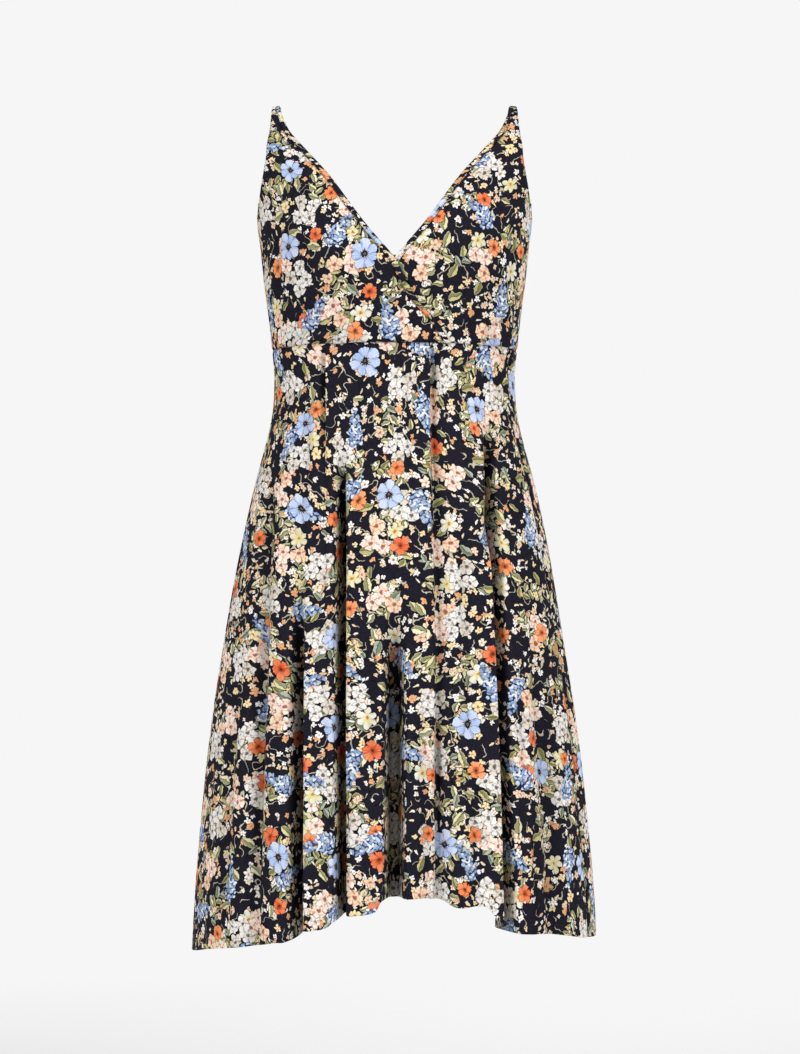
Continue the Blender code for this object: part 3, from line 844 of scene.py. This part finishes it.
def spots(vector, size, jitter, amount):
    """As scatter, with 1 for the share of the places that carry a motif, evenly over the cloth."""
    local, _, chance, kind = scatter(vector, size, jitter)
    return local, chance, kind, sums("LESS_THAN", chance, amount)


def stamp(ground, edge, shown, colour):
    """Paints a motif where it is kept and edge is above 0, with a dark line round it."""
    ground = tinted(ground, (step_up(-0.95, -0.15, edge) * shown * 0.85, (8, 7, 11)))
    return blend_colour(step_up(-0.05, 0.25, edge) * shown, ground, colour)


def scatter_blossoms(ground, vector, size, radius, count, notch, colours, shade, heart, amount, patch):
    """Small flowers, each petal shaded along one side."""
    local, place, chance, kind = scatter(vector, size, 0.75)
    shown = kept(place, chance, amount, patch)
    edge, out, aside, petal, _ = bloom(local, (kind * 0.35 + 0.8) * radius, count, notch, chance, 1.7)
    colour = tinted(pick(kind, colours),
                    (step_up(0.1, 0.9, aside) * 0.45 + petal * 0.15, shade),
                    (step_up(0.36, 0.14, out) * 0.9, heart))
    return stamp(ground, edge, shown, colour)


def paint_leaf(ground, vector, length, width, kind, shown, colours, shade, rib):
    """Leaf or petal along its own x: one half shaded, with a pale rim and a line down its middle."""
    x, y = parts_of(vector)
    along = x / (0.5 * length)
    half = sums("MAXIMUM", 1.0 - along * along, 0.0) ** 0.75 * (1.0 - along * 0.3) * (0.5 * width)
    edge = half - abs(y)
    colour = tinted(pick(kind, colours),
                    (step_up(-0.12 * width, 0.12 * width, y) * 0.72, shade),
                    (step_up(0.9, 0.2, edge) * 0.55, (238, 232, 196)),
                    (step_up(0.8, 0.3, abs(y)) * rib, (74, 76, 46)))
    return stamp(ground, edge, shown, colour)


def scatter_leaves(ground, vector, size, length, width, colours, shade, rib, amount, patch):
    """Single leaves, or buds and loose petals, over the cloth."""
    local, place, chance, kind = scatter(vector, size, 0.6)
    shown = kept(place, chance, amount, patch)
    return paint_leaf(ground, local, length, width, kind, shown, colours, shade, rib)


def tendrils(ground, vector):
    """Thin pale stems that wander over the cloth."""
    level = sine(cloud(vector, 30.0) * 16.0)
    line = step_up(0.17, 0.08, abs(level)) * step_up(0.49, 0.52, cloud(vector, 17.0))
    return tinted(ground, (line, (196, 188, 164)))


def sprigs(ground, vector, size, bend, amount):
    """Curved stems with leaves on both sides."""
    local, _, kind, shown = spots(vector, size, 0.35, amount)
    x, y = parts_of(local)
    lifted = y + bend
    aside = sums("SQRT", x * x + lifted * lifted) - bend
    along = sums("ARCTAN2", x, lifted) * bend
    reach = 0.44 * size
    within = step_up(reach, reach - 2.0, abs(along))
    stem = step_up(0.9, 0.45, abs(aside))
    ground = tinted(ground, (stem * within * shown, (176, 170, 150)))
    for side in (-1.0, 1.0):
        shifted = along + 0.25 * side * SPRIG_PITCH
        step = sums("FLOOR", shifted / SPRIG_PITCH)
        inside = shifted - (step + 0.5) * SPRIG_PITCH
        across = aside * side - SPRIG_REACH
        place = vector_of(inside * 0.62 + across * 0.78, inside * -0.78 + across * 0.62)
        room = sums("LESS_THAN", abs((step + 0.5) * SPRIG_PITCH), reach)
        hue = sums("FRACT", step * 0.37 + kind)
        ground = paint_leaf(ground, place, 12.0, 6.4, hue, shown * room, LEAVES, LEAF_SHADE, 0.8)
    return ground


def spike_width(along, widest):
    """Half-width of a flower spike at a place along it."""
    share = (along + SPIKE_FOOT) / SPIKE_LENGTH
    return sums("MAXIMUM", 1.0 - share, 0.0) ** 0.72 * widest * step_up(-0.04, 0.14, share)


def spikes(ground, vector, size, amount):
    """Tall heads of small blue florets on a stem."""
    local, _, lean, shown = spots(vector, size, 0.35, amount)
    x, y = parts_of(local)
    stem = step_up(0.9, 0.4, abs(y + x * x * 0.004))
    stem = stem * step_up(-36.0, -35.0, x) * step_up(-18.0, -20.0, x)
    shadow = step_up(0.0, 2.0, spike_width(x, SPIKE_WIDTH - 1.0) - abs(y))
    ground = tinted(ground, (stem * shown, (158, 166, 148)), (shadow * shown * 0.75, (48, 66, 112)))
    floret, place, (shade, tilt, tall) = cells(local, 3.7, 0.95)
    px, py = parts_of(place)
    head = spike_width(px, SPIKE_WIDTH)
    body = sums("GREATER_THAN", head + (lean - 0.5) * 2.0, abs(py))
    side = spun(floret, (tilt - 0.5) * 1.2 + sums("SIGN", py) * -0.7)
    sx, sy = parts_of(side)
    reach = sums("SQRT", sx * sx * 0.42 + sy * sy)
    colour = tinted(pick(shade, FLORETS), (step_up(0.2, 1.5, sy + sx * 0.4) * 0.6, (80, 108, 164)))
    return stamp(ground, 1.5 + tall * 0.35 - reach, body * shown, colour)


def clusters(ground, vector, size, amount, width, spread, colours, shade, line, heart):
    """Groups of full round flowers that overlap."""
    local, _, _, shown = spots(vector, size, 0.35, amount)
    flower, place, (kind, tilt, scale) = cells(local, width, 0.6)
    px, py = parts_of(place)
    inside = sums("LESS_THAN", px * px + py * py * 2.1, spread * spread)
    turned_flower = spun(flower, tilt * (2.0 * pi))
    edge, out, aside, petal, around = bloom(turned_flower, (scale * 0.16 + 0.56) * width, 5, 0.30, kind)
    ruffle = sums("FRACT", out * 2.2 + sine(around * 5.0 + kind * 6.0) * 0.16)
    colour = tinted(pick(kind, colours),
                    (petal * 0.25, shade),
                    (step_up(0.5, 0.0, ruffle) * step_up(0.95, 0.6, out) * 0.6, shade),
                    (step_up(0.62, 1.0, abs(aside)) * step_up(0.25, 0.6, out) * 0.75, line),
                    (step_up(0.36, 0.14, out) * 0.9, heart))
    return stamp(ground, edge, inside * shown, colour)


def poppies(ground, vector, size, amount, radius):
    """Orange flowers with ruffled petals."""
    local, chance, kind, shown = spots(vector, size, 0.6, amount)
    edge, out, aside, petal, around = bloom(local, (kind * 0.35 + 0.8) * radius, 5, 0.38, chance)
    edge = edge + sine(around * 17.0) * 0.45
    streak = step_up(0.0, 1.0, sine(around * 23.0 + sine(out * 9.0)))
    colour = tinted(pick(kind, POPPY_ORANGES),
                    (petal * 0.4, (248, 176, 124)),
                    (streak * step_up(0.3, 0.9, out) * 0.35, (252, 196, 148)),
                    (step_up(0.5, 1.0, aside) * 0.8, (168, 54, 30)),
                    (step_up(0.5, 0.2, out) * 0.8, (146, 50, 30)),
                    (step_up(0.18, 0.1, out), (60, 48, 34)))
    return stamp(ground, edge, shown, colour)


def stars(ground, vector, size, amount, radius):
    """White flowers with six pointed petals and a yellow middle."""
    local, chance, kind, shown = spots(vector, size, 0.6, amount)
    edge, out, aside, petal, _ = bloom(local, (kind * 0.25 + 0.85) * radius, 6, 0.72, chance, 1.9)
    colour = tinted(pick(kind, STAR_WHITES),
                    (petal * 0.3 + step_up(0.0, 0.6, aside) * 0.4, (196, 190, 140)),
                    (step_up(0.6, 0.25, out) * 0.75, (224, 206, 112)),
                    (step_up(0.24, 0.12, out), (186, 116, 58)))
    return stamp(ground, edge, shown, colour)


def anemones(ground, vector, size, amount, radius):
    """Large light blue flowers with a dark middle."""
    local, chance, kind, shown = spots(vector, size, 0.5, amount)
    edge, out, aside, petal, around = bloom(local, (kind * 0.2 + 0.92) * radius, 7, 0.34, chance)
    streak = sine(around * 29.0 + sine(out * 6.0 + petal * 9.0) * 1.6)
    rays = out + step_up(0.0, 1.0, sine(around * 13.0)) * -0.13
    colour = tinted(tone(152, 180, 228),
                    (petal, (204, 215, 240)),
                    (step_up(-0.4, 1.0, streak) * step_up(0.35, 0.75, out) * 0.6, (226, 232, 248)),
                    (step_up(0.3, 1.0, aside) * 0.75, (92, 124, 188)),
                    (step_up(0.62, 0.34, out) * 0.55, (196, 198, 214)),
                    (step_up(0.30, 0.22, rays), (40, 34, 36)),
                    (step_up(0.12, 0.06, out) * 0.7, (120, 112, 96)))
    return stamp(ground, edge, shown, colour)


# The print from the ground up: what paints each layer, where it starts, and its settings. Sizes are
# millimetres, and amount is the share of the places that are painted
LAYERS = [
    (tendrils, (211.0, 467.0), {}),
    (sprigs, (812.0, 131.0), dict(size=52.0, bend=26.0, amount=0.60)),
    (scatter_leaves, (301.0, 59.0), dict(
        size=6.2, length=6.4, width=2.7, colours=CREAMS, shade=(216, 186, 156), rib=0.0,
        amount=0.31, patch=27.0)),
    (scatter_blossoms, (411.0, 97.0), dict(
        size=5.8, radius=3.0, count=4, notch=0.85, colours=CREAMS, shade=(216, 188, 158),
        heart=(200, 136, 82), amount=0.33, patch=21.0)),
    (scatter_blossoms, (103.0, 717.0), dict(
        size=8.6, radius=4.5, count=5, notch=0.78, colours=CREAMS, shade=(214, 186, 158),
        heart=(200, 132, 76), amount=0.34, patch=23.0)),
    (scatter_leaves, (57.0, 803.0), dict(
        size=16.0, length=13.5, width=6.2, colours=LEAVES, shade=LEAF_SHADE, rib=0.8,
        amount=0.30, patch=33.0)),
    (scatter_blossoms, (533.0, 217.0), dict(
        size=17.0, radius=7.0, count=5, notch=0.60, colours=BLOSSOMS, shade=(196, 148, 110),
        heart=(150, 92, 54), amount=0.27, patch=29.0)),
    (scatter_leaves, (357.0, 303.0), dict(
        size=27.0, length=17.0, width=8.0, colours=LEAVES, shade=LEAF_SHADE, rib=0.8,
        amount=0.39, patch=47.0)),
    (stars, (641.0, 419.0), dict(size=54.0, amount=0.36, radius=10.5)),
    (clusters, (229.0, 523.0), dict(
        size=74.0, amount=0.58, width=15.0, spread=18.5, colours=CORALS, shade=(222, 140, 94),
        line=(190, 80, 44), heart=(146, 66, 40))),
    (clusters, (919.0, 611.0), dict(
        size=69.0, amount=0.62, width=14.0, spread=19.0, colours=IVORIES, shade=(170, 156, 138),
        line=(112, 94, 78), heart=(76, 62, 46))),
    (poppies, (167.0, 67.0), dict(size=55.0, amount=0.45, radius=9.5)),
    (spikes, (701.0, 871.0), dict(size=88.0, amount=0.76)),
    (anemones, (389.0, 947.0), dict(size=120.0, amount=0.62, radius=14.5)),
]


def print_colour(cloth):
    """Dense print of garden flowers on near-black navy, by the place on the flat cloth in millimetres."""
    cloth = wavering(cloth, 6.0, 4.5)
    colour = blend_colour(cloud(moved(cloth, (7.0, 3.0)), 3.0, 2.0), tone(20, 18, 25), tone(37, 36, 48))
    for paint, start, settings in LAYERS:
        colour = paint(colour, moved(cloth, start), **settings)
    return colour


def new_material(name):
    """A material whose nodes the fields now add to, and its shader."""
    material = bpy.data.materials.new(name)
    material.use_nodes = True
    Field.tree = material.node_tree
    return material, material.node_tree.nodes["Principled BSDF"]


def cloth_material():
    """Smooth woven cloth with the print on both faces, paler inside, and painted shade darkening its folds,
    creases and seams.
    """
    material, shader = new_material("print_cloth")
    place = add_node("Attribute", {}, attribute_name="flat_cloth").outputs["Vector"]
    cloth = add_node("VectorMath", {0: place, 1: (1000.0, 1000.0, 0.0)}, operation="MULTIPLY").outputs[0]
    inside = add_node("SeparateXYZ", {0: place}).outputs[2]
    colour = print_colour(cloth)
    wear = cloud(cloth, 1.6, 3.0)
    colour = blend_colour((wear - 0.5) * 0.5 + 0.06, colour, tone(255, 255, 255), "SOFT_LIGHT")
    reverse = tinted(colour, (0.55, (92, 88, 96)))
    colour = blend_colour(inside, colour, reverse)
    # Painted shade: the colour darkens towards near-black where the fold_shade attribute marks folds, creases
    # and seams
    shade = Field(add_node("Attribute", {}, attribute_name="fold_shade").outputs["Fac"])
    attach(tinted(colour, (shade * 0.62, (5, 5, 8))), shader.inputs["Base Color"])
    x, y = parts_of(cloth)
    weave = sine(x * (2.0 * pi / YARN_PITCH)) * sine(y * (2.0 * pi / YARN_PITCH))
    crepe = cloud(cloth, 0.9, 2.0)
    relief = {"Strength": 0.35, "Distance": 0.0002, "Height": weave * 0.25 + crepe * 1.2}
    attach(add_node("Bump", relief).outputs[0], shader.inputs["Normal"])
    attach((crepe - 0.5) * 0.25 + 0.56, shader.inputs["Roughness"])
    shader.inputs["Specular IOR Level"].default_value = 0.03
    shader.inputs["Sheen Weight"].default_value = 0.006
    shader.inputs["Sheen Roughness"].default_value = 0.45
    return material


def thread_material():
    """Dark twisted sewing thread."""
    material, shader = new_material("thread")
    x, y = parts_of(add_node("TexCoord", {}).outputs["Object"])
    twist = sine((x + y) * (2.0 * pi / THREAD_TWIST)) * 0.5 + 0.5
    attach(blend_colour(twist, tone(18, 17, 24), tone(48, 47, 60)), shader.inputs["Base Color"])
    attach(twist * 0.2 + 0.45, shader.inputs["Roughness"])
    return material


PRINT_CLOTH = cloth_material()
THREAD = thread_material()


# The pieces


def add_object(name, data):
    """An object in the scene."""
    item = bpy.data.objects.new(name, data)
    bpy.context.scene.collection.objects.link(item)
    return item


def on_print(name, flat):
    """Places on the printed cloth from which a piece is cut."""
    turn, shift_u, shift_v = ON_PRINT[name]
    ahead, aside = np.cos(radians(turn)), np.sin(radians(turn))
    u, v = flat[..., 0], flat[..., 1]
    return np.stack([u * ahead - v * aside + shift_u, u * aside + v * ahead + shift_v], axis=-1)


def rim_of(rows, columns):
    """Rows and columns of the points round the edge of a grid, in order."""
    ring = [(0, column) for column in range(columns)]
    ring += [(row, columns - 1) for row in range(1, rows)]
    ring += [(rows - 1, column) for column in range(columns - 2, -1, -1)]
    ring += [(row, 0) for row in range(rows - 2, 0, -1)]
    return np.array(ring).T


def closed_shell(name, outer, inner, row, column):
    """Mesh of the thin shell between two grids, with its rim at these rows and columns rounded."""
    rows, columns = outer.shape[:2]
    count = rows * columns
    rim_outer, rim_inner = outer[row, column], inner[row, column]
    away = unit(rim_outer - outer[np.clip(row, 1, rows - 2), np.clip(column, 1, columns - 2)])
    thick = np.linalg.norm(rim_outer - rim_inner, axis=1)[:, None]
    rim = 0.5 * (rim_outer + rim_inner) + away * thick * EDGE_ROUNDING
    points = np.concatenate([outer.reshape(-1, 3), inner.reshape(-1, 3), rim])
    index = np.arange(count).reshape(rows, columns)
    quads = np.stack([index[:-1, :-1], index[:-1, 1:], index[1:, 1:], index[1:, :-1]], axis=-1).reshape(-1, 4)
    edge, crest = index[row, column], 2 * count + np.arange(len(row))
    edge_after, crest_after = np.roll(edge, -1), np.roll(crest, -1)
    faces = np.concatenate([
        quads,
        quads[:, ::-1] + count,
        np.stack([edge_after, edge, crest, crest_after], axis=-1),
        np.stack([crest_after, crest, edge + count, edge_after + count], axis=-1),
    ])
    corners = points[faces]
    normals = np.cross(corners[:, 2] - corners[:, 0], corners[:, 3] - corners[:, 1])
    if np.sum(corners.mean(axis=1) * normals) < 0.0:
        faces = faces[:, ::-1]
    mesh = bpy.data.meshes.new(name)
    mesh.from_pydata(points.tolist(), [], faces.tolist())
    mesh.validate()
    mesh.shade_smooth()
    return mesh


def add_cloth(name, outer, inner, flat, shade=0.0):
    """Closed thin shell between two grids, with rounded edges, in place of its CAD solid.

    Its points keep their places on the printed cloth, and the painted shade of the outer grid there, from 0
    to 1.
    """
    row, column = rim_of(*outer.shape[:2])
    mesh = closed_shell(name, outer, inner, row, column)
    flat = on_print(name, flat)
    shade = np.broadcast_to(shade, outer.shape[:2])
    inside = np.repeat((0.0, 1.0, 0.0), (shade.size, shade.size, len(row)))
    places = np.column_stack([np.concatenate([flat.reshape(-1, 2), flat.reshape(-1, 2), flat[row, column]]),
                              inside]).astype(np.float32)
    # Painted shade for the outer points and the rim, none for the inner ones
    painted_shade_values = np.concatenate([shade.ravel(), np.zeros(shade.size), shade[row, column]]).astype(np.float32)
    mesh.attributes.new("flat_cloth", "FLOAT_VECTOR", "POINT").data.foreach_set("vector", places.ravel())
    mesh.attributes.new("fold_shade", "FLOAT", "POINT").data.foreach_set("value", painted_shade_values)
    mesh.materials.append(PRINT_CLOTH)
    piece = add_object(name, mesh)
    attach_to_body(piece, "root")
    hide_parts(name.removesuffix("_cloth"))


def shell(name, grid, flat, shade, seams, free_edges=()):
    """Cloth whose outer surface is the grid: it dips in at its seams, which get painted shade, and is thicker
    along turned edges.
    """
    normals = surface_normals(grid)
    near_seam = 1.0 - smooth(0.0, SEAM_REACH, edge_distance(grid, seams))
    thick = CLOTH + 0.0 * grid[..., 0]
    if free_edges:
        near_edge = 1.0 - smooth(HEM_DEPTH - HEM_STEP, HEM_DEPTH, edge_distance(grid, free_edges))
        thick = thick + (HEM_THICKNESS - CLOTH) * near_edge
    outer = grid - normals * (SEAM_DIP * near_seam)[..., None]
    inner = outer - normals * thick[..., None]
    # Painted shade of folds and creases, raised along the seams to the painted seam shade
    add_cloth(name, outer, inner, flat, np.maximum(shade, SEAM_SHADE * near_seam))


def add_stitches(name, lines):
    """Short raised stitches along lines on the cloth, each line given by its points and their normals."""
    points, faces = [], []
    for line, normals in lines:
        run = length_along(line)
        for place in np.arange(STITCH_PITCH, run[-1] - STITCH_PITCH, STITCH_PITCH):
            start = point_at(line, run, place - 0.5 * STITCH_LENGTH)
            end = point_at(line, run, place + 0.5 * STITCH_LENGTH)
            up = unit(point_at(normals, run, place))
            side = unit(np.cross(end - start, up)) * 0.5 * STITCH_WIDTH
            lift = up * STITCH_LIFT
            first = len(points)
            points.append(start - lift)
            for share in (0.2, 0.8):
                middle = start + (end - start) * share
                points += [middle + side, middle + lift, middle - side, middle - lift]
            points.append(end - lift)
            for corner in range(4):
                after = (corner + 1) % 4
                faces.append((first, first + 1 + corner, first + 1 + after))
                faces.append((first + 1 + corner, first + 5 + corner, first + 5 + after, first + 1 + after))
                faces.append((first + 9, first + 5 + after, first + 5 + corner))
    mesh = bpy.data.meshes.new(name)
    mesh.from_pydata([tuple(point) for point in points], [], faces)
    mesh.shade_smooth()
    mesh.materials.append(THREAD)
    piece = add_object(name, mesh)
    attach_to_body(piece, "root")


def crowded_angles(fan, height, folds, columns):
    """Angles of the points of one row of the skirt, closer together at its folds."""
    top = waist_height(fan)
    crowd = np.ones_like(fan)
    for fold in folds:
        deep = np.minimum(1.0, fold_depth(fold, height, top) / CROWDED_DEPTH)
        near = np.exp(-(fold_aside(fold, fan, height) / CROWDING_REACH) ** 2)
        crowd += FOLD_CROWDING * (LEAST_CROWDING + deep) * near
    run = np.concatenate([[0.0], np.cumsum(0.5 * (crowd[1:] + crowd[:-1]))])
    return np.interp(np.linspace(0.0, run[-1], columns + 1), run, fan)


def skirt(word, first, last, middle, folds, columns):
    """Front or back of the skirt."""
    def surface(angle, height):
        return skirt_point(angle, height, folds)

    fan = np.linspace(first, last, SPACING_STEPS)
    shares = np.linspace(0.0, 1.0, SKIRT_ROWS + 1)
    angle = np.array([crowded_angles(fan, skirt_height(fan, share), folds, columns) for share in shares])
    height = skirt_height(angle, shares[:, None])
    grid = surface(angle, height)
    shell("skirt_" + word + "_cloth", grid, flat_places(angle, height, surface, middle, RING_RADIUS),
          painted_fold_shade(angle, height, folds), ("first_row", "first_column", "last_column"), ("last_row",))
    add_stitches("skirt_" + word + "_stitches", [line_across(grid, surface_normals(grid), HEM_STITCHING)])


def front_places(side, first_edge, last_edge, columns):
    """Angles and heights of a front panel's points, from the waist seam up to the shoulder."""
    shares = np.concatenate([np.linspace(0, 1, BODY_ROWS + 1), np.ones(ARM_ROWS)])
    rises = np.concatenate([np.zeros(BODY_ROWS + 1), np.arange(1, ARM_ROWS + 1) / ARM_ROWS])
    above = (TIP_HEIGHT - UNDERARM_HEIGHT) * rises
    level = WAIST_AT_SIDE + (UNDERARM_HEIGHT - WAIST_AT_SIDE) * shares + above
    first, last = first_edge(side, level), last_edge(side, level)
    across = np.linspace(0.0, 1.0, columns + 1)
    angle = first[:, None] + (last - first)[:, None] * across
    return angle, bodice_height(angle, shares[:, None], 0.0) + above[:, None]


def front_grid(side, angle, height):
    """Outer surface of a front panel or its binding."""
    grid = bodice_surface(angle, height)
    if side < 0.0:
        under_edge = -neck_across(height)
        share = smooth(under_edge - LAP_FADE, under_edge - LAP_EDGE, grid[..., 0])
        grid = grid + outward(angle, height) * ((WALL + LAP_CLEARANCE) * share)[..., None]
    return grid


def front_panel(side, word):
    """Front of the bodice on one side, stitched along its armhole."""
    angle, height = front_places(side, side_edge, binding_seam, PANEL_COLUMNS)
    grid = front_grid(side, angle, height)
    shell("front_" + word + "_cloth", grid, flat_places(angle, height, bodice_surface, 0.0),
          painted_fold_shade(angle, height), ("first_column", "last_column", "first_row"))
    armhole = [np.swapaxes(values[BODY_ROWS + 1:, ::-1], 0, 1) for values in (grid, surface_normals(grid))]
    add_stitches("front_" + word + "_stitches", [line_across(*armhole, EDGE_STITCHING)])


def neck_binding(side, word):
    """Rounded binding along the free edge of one front panel."""
    angle, height = front_places(side, binding_seam, free_edge, BINDING_COLUMNS)
    grid = front_grid(side, angle, height)
    run = np.broadcast_to(length_along(grid[:, 0])[:, None], grid.shape[:2])
    flat = np.stack([run, np.linalg.norm(grid - grid[:, :1], axis=-1)], axis=-1)
    crown = BINDING_CROWN * np.sin(np.linspace(0.0, pi, BINDING_COLUMNS + 1)) ** 0.6
    grid = grid + surface_normals(grid) * crown[None, :, None]
    normals = surface_normals(grid)
    add_cloth("neck_binding_" + word + "_cloth", grid, grid - normals * WALL, flat)
    add_stitches("neck_binding_" + word + "_stitches", [(grid[:, 1], normals[:, 1])])


def back_panel():
    """Back of the bodice, from the right side seam round to the left one."""
    share = np.linspace(0.0, 1.0, BODY_ROWS + 1)[:, None]
    first = right_seam(WAIST_AT_SIDE + (UNDERARM_HEIGHT - WAIST_AT_SIDE) * share)
    last = 2.0 * pi + LEFT_SEAM
    angle = first + (last - first) * np.linspace(0.0, 1.0, BACK_PANEL_COLUMNS + 1)[None, :]
    height = bodice_height(angle, share, back_neck_drop(angle))
    grid = bodice_surface(angle, height)
    shell("back_cloth", grid, flat_places(angle, height, bodice_surface, pi), painted_fold_shade(angle, height),
          ("first_column", "last_column", "first_row"), ("last_row",))
    add_stitches("back_stitches", [line_across(grid, surface_normals(grid), EDGE_STITCHING)])


def strap_path():
    """Middle line and normals of the left strap, from the front's tip to the back's top edge."""
    tip_angle = angle_at(0.5 * (neck_across(TIP_HEIGHT) + ARMHOLE_EDGE[0, 1]), TIP_HEIGHT)
    points = [body_point(tip_angle, TIP_HEIGHT)]
    normals = [STRAP_TIP_NORMAL]
    for across, depth, height, lean in STRAP_OVER_SHOULDER:
        points.append((-across, depth, height))
        normals.append((STRAP_SIDE_LEAN, lean, 1.0 - abs(lean)))
    end_height = UNDERARM_HEIGHT - back_neck_drop(pi - angle_at(-STRAP_AT_BACK, UNDERARM_HEIGHT))
    for height in (*STRAP_BACK_HEIGHTS, end_height):
        share = (height - STRAP_BACK_HEIGHTS[0]) / (end_height - STRAP_BACK_HEIGHTS[0])
        across = STRAP_AT_SHOULDER + (STRAP_AT_BACK - STRAP_AT_SHOULDER) * share
        angle = pi - angle_at(-across, height)
        points.append(body_point(angle, height))
        normals.append(outward(angle, height))
    path = smooth_path(np.array(points), STRAP_STEPS)
    return path, unit(smooth_path(unit(np.array(normals)), STRAP_STEPS))


def strap(side, word):
    """Flat strap over the shoulder, stitched along both edges."""
    mirror = np.array((-side, 1.0, 1.0))
    path, lean = (line * mirror for line in strap_path())
    tangents = unit(np.gradient(path, axis=0))
    across = unit(np.cross(tangents, lean))
    up = np.broadcast_to(unit(np.cross(across, tangents))[:, None], (len(path), STRAP_COLUMNS + 1, 3))
    width = np.linspace(-0.5, 0.5, STRAP_COLUMNS + 1)
    crown = (STRAP_CROWN * (np.cos(pi * width) ** 0.5 - 1.0))[None, :, None]
    outer = path[:, None] + across[:, None] * (STRAP_WIDTH * width)[None, :, None] + up * crown
    inner = outer - up * STRAP_THICKNESS - 2.0 * up * crown
    flat = np.stack(np.broadcast_arrays(length_along(path)[:, None], STRAP_WIDTH * width), axis=-1)
    add_cloth("strap_" + word + "_cloth", outer, inner, flat)
    lines = [(outer[:, column], up[:, column]) for column in (1, STRAP_COLUMNS - 1)]
    add_stitches("strap_" + word + "_stitches", lines)


def add_floor():
    """Pale floor under the dress, which fades out."""
    mesh = bpy.data.meshes.new("floor")
    round_it = np.linspace(0.0, 2.0 * pi, FLOOR_CORNERS + 1)[:-1]
    corners = [(FLOOR_RADIUS * np.cos(a), FLOOR_RADIUS * np.sin(a), FLOOR_HEIGHT) for a in round_it]
    mesh.from_pydata(corners, [], [list(range(FLOOR_CORNERS))])
    material, shader = new_material("floor_paper")
    shader.inputs["Base Color"].default_value = tone(243, 243, 243)
    shader.inputs["Roughness"].default_value = 0.9
    x, y = parts_of(add_node("TexCoord", {}).outputs["Object"])
    distance = sums("SQRT", x * x + y * y)
    attach(step_up(FLOOR_FADES_TO, FLOOR_FADES_FROM, distance), shader.inputs["Alpha"])
    mesh.materials.append(material)
    add_object("floor", mesh)


def add_light():
    """Soft studio light, and a pale backdrop that only the camera sees."""
    world = bpy.data.worlds.new("studio")
    bpy.context.scene.world = world
    world.use_nodes = True
    nodes, links = world.node_tree.nodes, world.node_tree.links
    seen = nodes["Background"]
    seen.inputs["Color"].default_value = tone(246, 246, 246)
    soft = nodes.new("ShaderNodeBackground")
    soft.inputs["Color"].default_value = (1.0, 1.0, 1.0, 1.0)
    soft.inputs["Strength"].default_value = SKY_STRENGTH
    which = nodes.new("ShaderNodeMixShader")
    path = nodes.new("ShaderNodeLightPath")
    links.new(path.outputs["Is Camera Ray"], which.inputs[0])
    links.new(soft.outputs[0], which.inputs[1])
    links.new(seen.outputs[0], which.inputs[2])
    links.new(which.outputs[0], nodes["World Output"].inputs["Surface"])
    for name, place, size, power in LAMPS:
        light = bpy.data.lights.new(name, "AREA")
        light.shape = "SQUARE"
        light.size = size
        light.energy = power
        lamp = add_object(name, light)
        lamp.location = place
        lamp.rotation_euler = (Vector(LAMP_TARGET) - Vector(place)).to_track_quat("-Z", "Y").to_euler()
        lamp.visible_camera = False


def add_camera():
    """Camera level with the dress's middle, straight in front of it."""
    optics = bpy.data.cameras.new("camera")
    optics.sensor_fit = "VERTICAL"
    optics.sensor_height = SENSOR
    optics.lens = SENSOR * VIEW_DISTANCE / FRAME_HEIGHT
    camera = add_object("camera", optics)
    camera.location = (VIEW_ASIDE, -VIEW_DISTANCE, VIEW_HEIGHT)
    camera.rotation_euler = (pi / 2.0, 0.0, 0.0)
    bpy.context.scene.camera = camera
    bpy.context.scene.view_settings.view_transform = "Standard"


add_floor()
add_light()
add_camera()

skirt("front", LEFT_SEAM, RIGHT_SEAM, 0.0, FRONT_FOLDS, FRONT_COLUMNS)
skirt("back", RIGHT_SEAM, 2.0 * pi + LEFT_SEAM, pi, BACK_FOLDS, BACK_COLUMNS)
for side, word in ((-1.0, "left"), (1.0, "right")):
    front_panel(side, word)
    neck_binding(side, word)
back_panel()
for side, word in ((-1.0, "left"), (1.0, "right")):
    strap(side, word)
